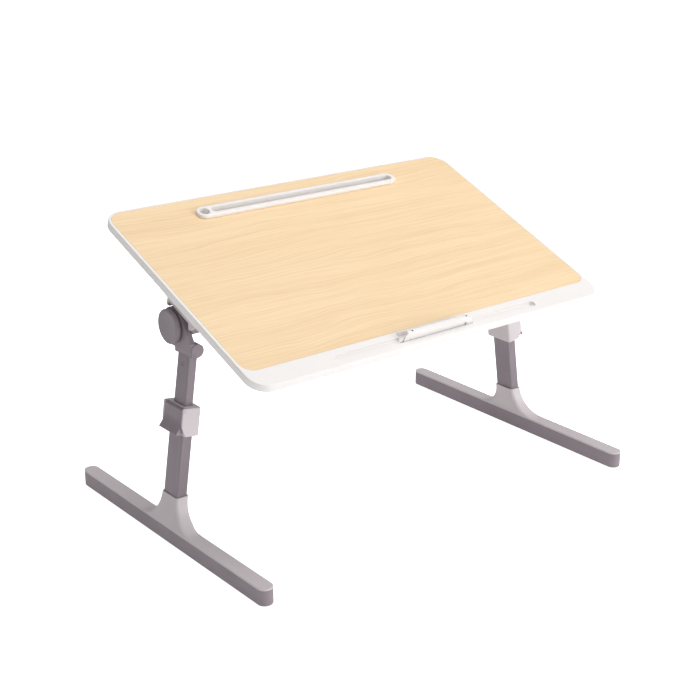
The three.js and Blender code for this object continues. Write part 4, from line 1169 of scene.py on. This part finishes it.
def disc_button(sizes):
    """The disc: a softly rounded rim, a fine ring, a shallow dish and a hollow stem."""
    low, high = span("tilt_button_left", ARM)
    radius, edge, ring = (high.y - low.y) / 2, sizes.disc_edge, sizes.ring
    out, back = low.x, high.x - 4.6 * MM
    fine, groove, bevel = 0.35 * MM, 0.6 * MM, 0.5 * MM
    hole, hollow, floor = 2 * MM, sizes.stem - 6 * MM, back - 3 * MM
    rim = [(r, out + x) for r, x in
           [(radius - edge + edge * math.sin(turn), edge - edge * math.cos(turn))
            for turn in (math.pi / 2 * step / 8 for step in range(9))]]
    dish = [(hole, out + 0.5 * MM), (ring * 0.5, out + 0.35 * MM), (ring * 0.8, out + 0.15 * MM)]
    return spun([*dish, (ring - fine, out), (ring - fine, out + groove),
                 (ring + fine, out + groove), (ring + fine, out), *rim,
                 (radius, back - bevel), (radius - bevel, back), (sizes.stem, back),
                 (sizes.stem, high.x), (hollow, high.x), (hollow, floor), (hole, floor)], "X")


def spring_tree():
    """A coil spring: a wire swept along a helix."""
    tree, source = new_tree("Coil spring", ("Radius", "Wire radius", "Height"), ("Turns",))
    value = source.outputs
    helix = add(tree, "GeometryNodeCurveSpiral", {
        "Resolution": 24, "Rotations": value["Turns"], "Start Radius": value["Radius"],
        "End Radius": value["Radius"], "Height": value["Height"]}).outputs[0]
    wire = add(tree, "GeometryNodeCurvePrimitiveCircle", {
        "Resolution": 12, "Radius": value["Wire radius"]}).outputs[0]
    swept = add(tree, "GeometryNodeCurveToMesh", {"Curve": helix, "Profile Curve": wire,
                                                  "Fill Caps": True}).outputs[0]
    end_tree(tree, swept, source)
    return tree


def button_spring(sizes):
    """The spring that presses the disc button out."""
    low, high = span("tilt_spring_left", ARM)
    wire = sizes.spring_wire
    shape = grown(spring_tree(), {
        "Radius": sizes.spring, "Wire radius": wire, "Height": high.x - low.x - 2.4 * wire,
        "Turns": sizes.spring_turns, "Finish": finish("steel")})
    shape.transform(Matrix.Translation((low.x + 1.2 * wire, 0, 0)) @ Matrix.Rotation(
        math.pi / 2, 4, "Y"))
    return shape


class MESH_OT_tray_arms(bpy.types.Operator):
    """Make the two tilting arms"""

    bl_idname = "mesh.tray_arms"
    bl_label = "Tilting arms"
    bl_options = {"UNDO"}

    def execute(self, context):
        shape = tilt_arm(context.scene.tray_hinge, context.scene.tray_leg)
        pair("arm", shape, ARM, "taupe", "upper_leg_{side}", ["tilt_arm_{side}"], 0.9)
        return {"FINISHED"}


class MESH_OT_tray_buttons(bpy.types.Operator):
    """Make the two disc buttons and the springs behind them"""

    bl_idname = "mesh.tray_buttons"
    bl_label = "Disc buttons"
    bl_options = {"UNDO"}

    def execute(self, context):
        sizes = context.scene.tray_hinge
        pair("disc_button", disc_button(sizes), ARM, "taupe", "button_{side}",
             ["tilt_button_{side}"], 0.15)
        pair("button_spring", button_spring(sizes), ARM, "steel", "upper_leg_{side}",
             ["tilt_spring_{side}"])
        return {"FINISHED"}


# ---- Tubes and clamps ---------------------------------------------------------------------


def tube_tree():
    """A tube of rounded rectangular section with an even wall."""
    tree, source = new_tree("Rounded tube", ("Depth", "Thickness", "Wall", "Corner", "Low", "High"))
    value = source.outputs
    both = arithmetic(tree, "MULTIPLY", value["Wall"], 2.0)
    outer = filleted(tree, value["Thickness"], value["Depth"], value["Corner"])
    inner = filleted(tree, arithmetic(tree, "SUBTRACT", value["Thickness"], both),
                     arithmetic(tree, "SUBTRACT", value["Depth"], both),
                     arithmetic(tree, "SUBTRACT", value["Corner"], value["Wall"]))
    curves = add(tree, "GeometryNodeJoinGeometry", {0: [outer, inner]}).outputs[0]
    end_tree(tree, pushed(tree, curves, value["Low"], value["High"]), source)
    return tree


def leg_tube(tree, sizes, node):
    """A tube of the size of a packed one."""
    low, high = span(node, LEG)
    return grown(tree, {"Depth": high.y - low.y, "Thickness": high.x - low.x, "Wall": sizes.wall,
                        "Corner": sizes.corner, "Low": low.z, "High": high.z,
                        "Finish": finish("tube")})


def pad_window(grow=FIT):
    """The window that the clamp pad goes through."""
    low, high = span("clamp_pad_left", LEG)
    return block(low.x - 10 * MM, 0, low.y - grow, high.y + grow, low.z - grow, high.z + grow)


def height_collar(sizes):
    """The collar: a cap round the sliding tube, walls round the outer one and two ears."""
    low, high = span("height_collar_left", LEG)
    outer_low, outer_high = span("outer_tube_left", LEG)
    inner_low, inner_high = span("inner_tube_left", LEG)
    face = span("clamp_pad_left", LEG)[0].x
    pin_x, pin_z = lever_axis()
    corner, toe, slant = sizes.collar_corner, low.z + MM, 12 * MM
    body = prism(rounded_box(face, high.x, low.y, high.y, corner), low.z, high.z)
    ears = []
    for start in (low.y, high.y - sizes.ear):
        outline = rounded([(low.x, high.z, 1.5 * MM), (low.x, low.z + slant, 3 * MM),
                           (face + 0.5 * MM, toe, 1.5 * MM), (face + corner, toe, 0),
                           (face + corner, high.z, 0)], 0)
        ears.append(prism(outline, start, start + sizes.ear, "Y"))
    outer_bore = prism(rounded_box(outer_low.x - FIT, outer_high.x + FIT, outer_low.y - FIT,
                                   outer_high.y + FIT, sizes.corner), low.z - PASS,
                       outer_high.z + FIT)
    inner_bore = prism(rounded_box(inner_low.x - RUN, inner_high.x + RUN, inner_low.y - RUN,
                                   inner_high.y + RUN, sizes.corner), low.z, high.z + PASS)
    pin = rod(sizes.lever_pin + FIT, low.y - PASS, high.y + PASS, "Y", pin_x, pin_z, 32)
    return cut(joined(body, *ears), outer_bore, inner_bore, pin, pad_window())


def lever_axis():
    """The lever pin's place across and along the leg."""
    low, high = span("lever_pin_left", LEG)
    return (low.x + high.x) / 2, (low.z + high.z) / 2


def curve_points(start, bend, end, steps=10):
    """Points along a curve that bends towards a point, without its first."""
    points = []
    for step in range(1, steps + 1):
        share = step / steps
        points.append(tuple(
            (1 - share) ** 2 * a + 2 * share * (1 - share) * b + share ** 2 * c
            for a, b, c in zip(start, bend, end)))
    return points


def clamp_lever(sizes):
    """The lever: a barrel on its pin and a plate whose lower end curls outwards."""
    low, high = span("clamp_lever_left", LEG)
    pin_x, pin_z = lever_axis()
    inner, foot = span("clamp_pad_left", LEG)[0].x - RUN, low.z
    outer = inner - sizes.lever_thick
    bend = foot + 17 * MM
    flare = outer - sizes.lever_flare
    plate = (outer - 0.4 * MM, bend + 3 * MM)  # where the flat plate starts to curl
    tip = (flare + 1.5 * MM, foot + 2.5 * MM)
    end = (flare + 3 * MM, foot)
    section = [(inner - 0.5 * MM, pin_z), (plate[0], pin_z), plate,
               *curve_points(plate, (outer - 0.6 * MM, bend - 6 * MM), tip),
               *curve_points(tip, (flare, foot), end), (inner - 2.4 * MM, foot),
               (inner, bend - 9 * MM)]
    half = high.y
    body = joined(prism(section, -half, half, "Y"),
                  rod(sizes.lever_barrel, -half, half, "Y", pin_x, pin_z, 48))
    return cut(body, rod(sizes.lever_pin + FIT, -half - PASS, half + PASS, "Y", pin_x, pin_z, 32))


class MESH_OT_tray_tubes(bpy.types.Operator):
    """Make the sliding tubes, the outer tubes and their rivets"""

    bl_idname = "mesh.tray_tubes"
    bl_label = "Leg tubes"
    bl_options = {"UNDO"}

    def execute(self, context):
        sizes = context.scene.tray_leg
        tree = tube_tree()
        low, high = span("tube_rivet_left", LEG)
        hole = rod(sizes.rivet + FIT, -THROUGH, THROUGH, "X", 0, rivet_height(), 48)
        inner = cut(leg_tube(tree, sizes, "inner_tube_left"), hole)
        pair("slide_tube", inner, LEG, "tube", "upper_leg_{side}", ["inner_tube_{side}"], 0.25)
        outer = cut(leg_tube(tree, sizes, "outer_tube_left"), pad_window())
        pair("leg_tube", outer, LEG, "tube", "lower_leg_{side}", ["outer_tube_{side}"], 0.25)
        dome = 0.5 * MM
        rivet = spun([(sizes.rivet - dome, low.x), (sizes.rivet, low.x + dome),
                      (sizes.rivet, high.x - dome), (sizes.rivet - dome, high.x)], "X", 0,
                     rivet_height(), 48)
        pair("rivet", rivet, LEG, "tube", "upper_leg_{side}", ["tube_rivet_{side}"])
        return {"FINISHED"}


class MESH_OT_tray_clamps(bpy.types.Operator):
    """Make the height collars, levers and lever pins"""

    bl_idname = "mesh.tray_clamps"
    bl_label = "Height clamps"
    bl_options = {"UNDO"}

    def execute(self, context):
        sizes = context.scene.tray_leg
        pair("collar", height_collar(sizes), LEG, "greige", "lower_leg_{side}",
             ["height_collar_{side}"], 0.6)
        pair("lever", clamp_lever(sizes), LEG, "taupe", "lever_{side}",
             ["clamp_lever_{side}"], 0.7)
        low, high = span("lever_pin_left", LEG)
        pin = rod(sizes.lever_pin, low.y, high.y, "Y", *lever_axis(), 32)
        pair("lever_hinge_pin", pin, LEG, "greige", "lower_leg_{side}", ["lever_pin_{side}"], 0.2)
        return {"FINISHED"}


# ---- Feet -------------------------------------------------------------------------------


def foot_bar(sizes):
    """The bar: round ends, a soft lower edge and recesses for the two rubber pads."""
    low, high = span("foot_bar_left", FOOT)

    def outline(inset):
        return stadium(low.x + inset, high.x - inset, low.y + inset, high.y - inset, 20)

    body = pillow(outline, edge_profile(low.z, high.z, sizes.bar_edge, 0))
    tools = []
    for end in ("front", "back"):
        pad_low, pad_high = span(f"rubber_pad_{end}_left", FOOT)
        tools.append(prism(stadium(pad_low.x - FIT, pad_high.x + FIT, pad_low.y - FIT,
                                   pad_high.y + FIT), low.z - PASS, pad_high.z + FIT))
    head_hole, head_deep = 4.7 * MM, 6 * MM
    tools += [rod(FOOT_HOLE, 0, high.z + PASS, steps=32), rod(head_hole, 0, head_deep, steps=48)]
    return cut(body, *tools)


def flare_half(sizes, base, height):
    """Half the flare's length at a height: a quarter ellipse that ends on the cap."""
    share = (sizes.flare_top - height) / (sizes.flare_top - base)
    return sizes.flare_half + (sizes.flare_foot - sizes.flare_half) * (
        1 - math.sqrt(max(0.0, 1 - share * share)))


def flare(sizes, base, half_width):
    """The flare: as wide as the foot below, and round the leaning tube above."""
    low, high = span("outer_tube_left", LEG)
    away = FOOT.inverted() @ LEG
    axis = away.to_3x3() @ Vector((0, 0, 1))
    reach = (high.x - low.x) / 2 + FIT + sizes.flare_wall

    def middle(height):
        return away.translation.x + (height - away.translation.z) * axis.x / axis.z

    steps = 36
    rings = []
    for step in range(-1, steps + 1):
        share = max(0, step) / steps
        share = share * share * (3 - 2 * share)
        height = base + (sizes.flare_top - base) * share - (MM if step < 0 else 0)
        inner = min(half_width + 20 * MM * share, middle(height) + reach)
        outer = -half_width + (middle(sizes.flare_top) - reach + half_width) * share
        half = flare_half(sizes, base, max(base, height))
        corner = min(0.49 * (inner - outer), (9 - 5.5 * share) * MM)
        rings.append([(x, y, height) for x, y in rounded_box(outer, inner, -half, half, corner, 8)])
    return loft(rings)


def foot_cover(sizes, leg):
    """The cover: a thin cap along the bar and the flare that holds the outer tube."""
    low = span("foot_cover_left", FOOT)[0]
    bar_low, bar_high = span("foot_bar_left", FOOT)
    cap_thick, hole_up = 2.4 * MM, 4.8 * MM
    top = bar_high.z + FIT + cap_thick

    def outline(inset):
        return stadium(bar_low.x + inset, bar_high.x - inset, bar_low.y + inset,
                       bar_high.y - inset, 20)

    cap = pillow(outline, edge_profile(low.z, top, 0, sizes.cap_edge))
    tube_low, tube_high = span("outer_tube_left", LEG)
    socket = prism(rounded_box(tube_low.x - FIT, tube_high.x + FIT, tube_low.y - FIT,
                               tube_high.y + FIT, leg.corner), tube_low.z - FIT, tube_high.z)
    socket.transform(FOOT.inverted() @ LEG)
    hole = rod(FOOT_HOLE, 0, top + hole_up, steps=32)
    return cut(joined(cap, flare(sizes, top, bar_high.x)), socket, hole)


def foot_screw():
    """The screw that holds a tube and its cover to the bar, from below."""
    low, high = span("foot_screw_left", FOOT)
    radius, bevel = high.x, 0.6 * MM
    shank, head_end = radius * 0.5, low.z + 3.1 * MM
    body = spun([(radius - bevel, low.z), (radius, low.z + bevel), (radius, head_end),
                 (shank, head_end), (shank, high.z - MM), (radius * 0.3, high.z)], steps=48)
    arm, width, deep = radius * 0.55, 0.6 * MM, low.z + 1.2 * MM
    return cut(body, block(-arm, arm, -width, width, low.z - PASS, deep),
               block(-width, width, -arm, arm, low.z - PASS, deep))


def rib_tree():
    """A rubber pad: a plate with round ends, and ribs in a row under it."""
    tree, source = new_tree("Ribbed pad", ("Length", "Width", "Thickness", "Rib width",
                                           "Rib rise"), ("Ribs",))
    value = source.outputs
    half = arithmetic(tree, "MULTIPLY", value["Width"], 0.499)
    plate = pushed(tree, filleted(tree, value["Width"], value["Length"], half),
                   value["Rib rise"], value["Thickness"])
    run = arithmetic(tree, "SUBTRACT", value["Length"], arithmetic(
        tree, "MULTIPLY", value["Width"], 0.62))
    gaps = arithmetic(tree, "SUBTRACT", value["Ribs"], 1.0)
    step = arithmetic(tree, "DIVIDE", run, gaps)
    rise = arithmetic(tree, "MULTIPLY", value["Rib rise"], 1.5)
    line = add(tree, "GeometryNodeMeshLine", {
        "Count": value["Ribs"], "Start Location": vector(
            tree, y=arithmetic(tree, "MULTIPLY", run, -0.5),
            z=arithmetic(tree, "MULTIPLY", rise, 0.5)),
        "Offset": vector(tree, y=step)}, mode="OFFSET").outputs[0]
    rib = add(tree, "GeometryNodeMeshCube", {"Size": vector(
        tree, arithmetic(tree, "MULTIPLY", value["Width"], 0.6),
        value["Rib width"], rise)}).outputs[0]
    ribs = add(tree, "GeometryNodeInstanceOnPoints",
               {"Points": line, "Instance": rib}).outputs[0]
    solid = add(tree, "GeometryNodeRealizeInstances", {0: ribs}).outputs[0]
    whole = add(tree, "GeometryNodeMeshBoolean", {"Mesh 2": [plate, solid]}, operation="UNION",
                solver="EXACT").outputs[0]
    end_tree(tree, whole, source)
    return tree


class MESH_OT_tray_feet(bpy.types.Operator):
    """Make the foot bars, their covers and the screws that hold them"""

    bl_idname = "mesh.tray_feet"
    bl_label = "Feet"
    bl_options = {"UNDO"}

    def execute(self, context):
        sizes = context.scene.tray_foot
        pair("base_bar", foot_bar(sizes), FOOT, "taupe", "lower_leg_{side}",
             ["foot_bar_{side}"], 0.5)
        pair("base_cover", foot_cover(sizes, context.scene.tray_leg), FOOT, "greige",
             "lower_leg_{side}", ["foot_cover_{side}"], 0.5)
        pair("base_screw", foot_screw(), FOOT, "steel", "lower_leg_{side}",
             ["foot_screw_{side}"], 0.15)
        return {"FINISHED"}


class MESH_OT_tray_pads(bpy.types.Operator):
    """Make the ribbed rubber pads under the feet"""

    bl_idname = "mesh.tray_pads"
    bl_label = "Rubber pads"
    bl_options = {"UNDO"}

    def execute(self, context):
        sizes = context.scene.tray_foot
        tree = rib_tree()
        for end in ("front", "back"):
            low, high = span(f"rubber_pad_{end}_left", FOOT)
            shape = grown(tree, {
                "Length": high.y - low.y, "Width": high.x - low.x, "Thickness": high.z - low.z,
                "Rib width": sizes.rib_width, "Rib rise": sizes.rib_rise,
                "Ribs": sizes.rib_count, "Finish": finish("rubber")})
            shape.transform(Matrix.Translation((0, (low.y + high.y) / 2, low.z)))
            pair(f"{end}_pad", shape, FOOT, "rubber", "lower_leg_{side}",
                 [f"rubber_pad_{end}_{{side}}"], 0.2)
        return {"FINISHED"}


# ---- Hidden pieces ------------------------------------------------------------------------


class MATERIAL_OT_tray_inner(bpy.types.Operator):
    """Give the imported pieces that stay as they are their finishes"""

    bl_idname = "material.tray_inner"
    bl_label = "Inner pieces"
    bl_options = {"UNDO"}

    def execute(self, context):
        slots = {row["node"]: row["material_slot"] for row in frame["record"]["subparts"]}
        for name, thing in frame["nodes"].items():
            if not thing.hide_render:
                thing.data.materials.clear()
                thing.data.materials.append(finish(slots[name]))
        return {"FINISHED"}


# ---- Stage ------------------------------------------------------------------------------


FLOOR_HALF = 12.0  # half the floor's side, in metres
FLOOR_GLOW = 0.20  # glow of the floor on the pieces; the camera sees it at full strength
SKY_GLOW = 0.26  # the same of the sky
AIM = (0, 0, 0.25)  # the point that the lamps face
SOFTBOXES = (  # name, place, side and power
    ("overhead", (0.5, -0.3, 3.2), 3.4, 78),
    ("front", (1.9, -2.6, 0.8), 1.6, 46),
    ("corner", (-1.9, -2.7, 0.5), 0.5, 9),
)
CAMERA_PLACE = (-1.1526, -1.4183, 0.8634)
CAMERA_TURN, CAMERA_RISE = math.radians(-38.8), math.radians(20.1)
CAMERA_LENS, CAMERA_SENSOR = 70.87, 36.0


def camera_glow(tree, rest, strength):
    """Full strength straight to the camera, and a lower one for the light on the pieces."""
    seen = add(tree, "ShaderNodeLightPath").outputs["Is Camera Ray"]
    glow = arithmetic(tree, "ADD", arithmetic(tree, "MULTIPLY", seen, 1.0 - rest), rest)
    tree.links.new(glow, strength)


def softbox(name, place, aim, size, power):
    """A large soft lamp aimed at a point."""
    lamp = bpy.data.lights.new(name, "AREA")
    lamp.shape, lamp.size, lamp.energy = "SQUARE", size, power
    holder = bpy.data.objects.new(name, lamp)
    bpy.context.scene.collection.objects.link(holder)
    holder.location = place
    holder.rotation_euler = (Vector(aim) - Vector(place)).to_track_quat("-Z", "Y").to_euler()


def floor_sheet(tint):
    """A wide pale floor."""
    half = FLOOR_HALF
    shape = bmesh.new()
    shape.faces.new([shape.verts.new(corner) for corner in (
        (-half, -half, 0), (half, -half, 0), (half, half, 0), (-half, half, 0))])
    sheet = scratch(shape)
    sheet.name = "floor"
    look, tree, shader = new_look("floor", Roughness=0.9)
    shader.inputs["Base Color"].default_value = (*tint, 1.0)
    shader.inputs["Emission Color"].default_value = (1.0, 1.0, 1.0, 1.0)
    camera_glow(tree, FLOOR_GLOW, shader.inputs["Emission Strength"])
    sheet.data.materials.append(look)


class SCENE_OT_tray_stage(bpy.types.Operator):
    """Make the floor, the soft light and the camera"""

    bl_idname = "scene.tray_stage"
    bl_label = "Stage"
    bl_options = {"UNDO"}

    def execute(self, context):
        scene = context.scene
        floor_sheet(scene.tray_colours.floor)
        scene.view_settings.view_transform = "Standard"
        world = bpy.data.worlds.new("studio")
        world.use_nodes = True
        tree = world.node_tree
        sky = tree.nodes["Background"]
        sky.inputs["Color"].default_value = (1.0, 1.0, 1.0, 1.0)
        camera_glow(tree, SKY_GLOW, sky.inputs["Strength"])
        scene.world = world
        for name, place, size, power in SOFTBOXES:
            softbox(name, place, AIM, size, power)
        camera = bpy.data.cameras.new("camera")
        camera.lens, camera.sensor_width = CAMERA_LENS, CAMERA_SENSOR
        camera.clip_start, camera.clip_end = 0.05, 100.0
        holder = bpy.data.objects.new("camera", camera)
        scene.collection.objects.link(holder)
        back = Vector((math.sin(CAMERA_TURN) * math.cos(CAMERA_RISE),
                       -math.cos(CAMERA_TURN) * math.cos(CAMERA_RISE), math.sin(CAMERA_RISE)))
        holder.location = CAMERA_PLACE
        holder.rotation_euler = (-back).to_track_quat("-Z", "Y").to_euler()
        scene.camera = holder
        return {"FINISHED"}


# ---- Panel and run ------------------------------------------------------------------------

OPERATORS = (
    MESH_OT_tray_tabletop, MESH_OT_tray_slot, MESH_OT_tray_stop, MESH_OT_tray_hinges,
    MESH_OT_tray_screws, MESH_OT_tray_arms, MESH_OT_tray_buttons, MESH_OT_tray_tubes,
    MESH_OT_tray_clamps, MESH_OT_tray_feet, MESH_OT_tray_pads, MATERIAL_OT_tray_inner,
    SCENE_OT_tray_stage,
)


class VIEW3D_PT_tray_table(bpy.types.Panel):
    """The table's pieces and sizes in the sidebar"""

    bl_idname = "VIEW3D_PT_tray_table"
    bl_label = "Tray Table"
    bl_space_type = "VIEW_3D"
    bl_region_type = "UI"
    bl_category = "Tray Table"

    def draw(self, context):
        for operator in OPERATORS:
            self.layout.operator(operator.bl_idname)
        for group in GROUPS:
            sizes = getattr(context.scene, group)
            box = self.layout.box()
            box.label(text=group.replace("_", " ").capitalize())
            for name in sizes.__annotations__:
                box.prop(sizes, name)


def register():
    """Registers the sizes, the operators and the panel."""
    for name, group in GROUPS.items():
        bpy.utils.register_class(group)
        setattr(bpy.types.Scene, name, PointerProperty(type=group))
    for kind in (*OPERATORS, VIEW3D_PT_tray_table):
        bpy.utils.register_class(kind)


def unregister():
    """Takes everything back that register() added."""
    for kind in (VIEW3D_PT_tray_table, *reversed(OPERATORS)):
        bpy.utils.unregister_class(kind)
    for name, group in GROUPS.items():
        delattr(bpy.types.Scene, name)
        bpy.utils.unregister_class(group)


def main():
    register()
    for operator in OPERATORS:
        family, name = operator.bl_idname.split(".")
        getattr(getattr(bpy.ops, family), name)()


if __name__ == "__main__":
    main()
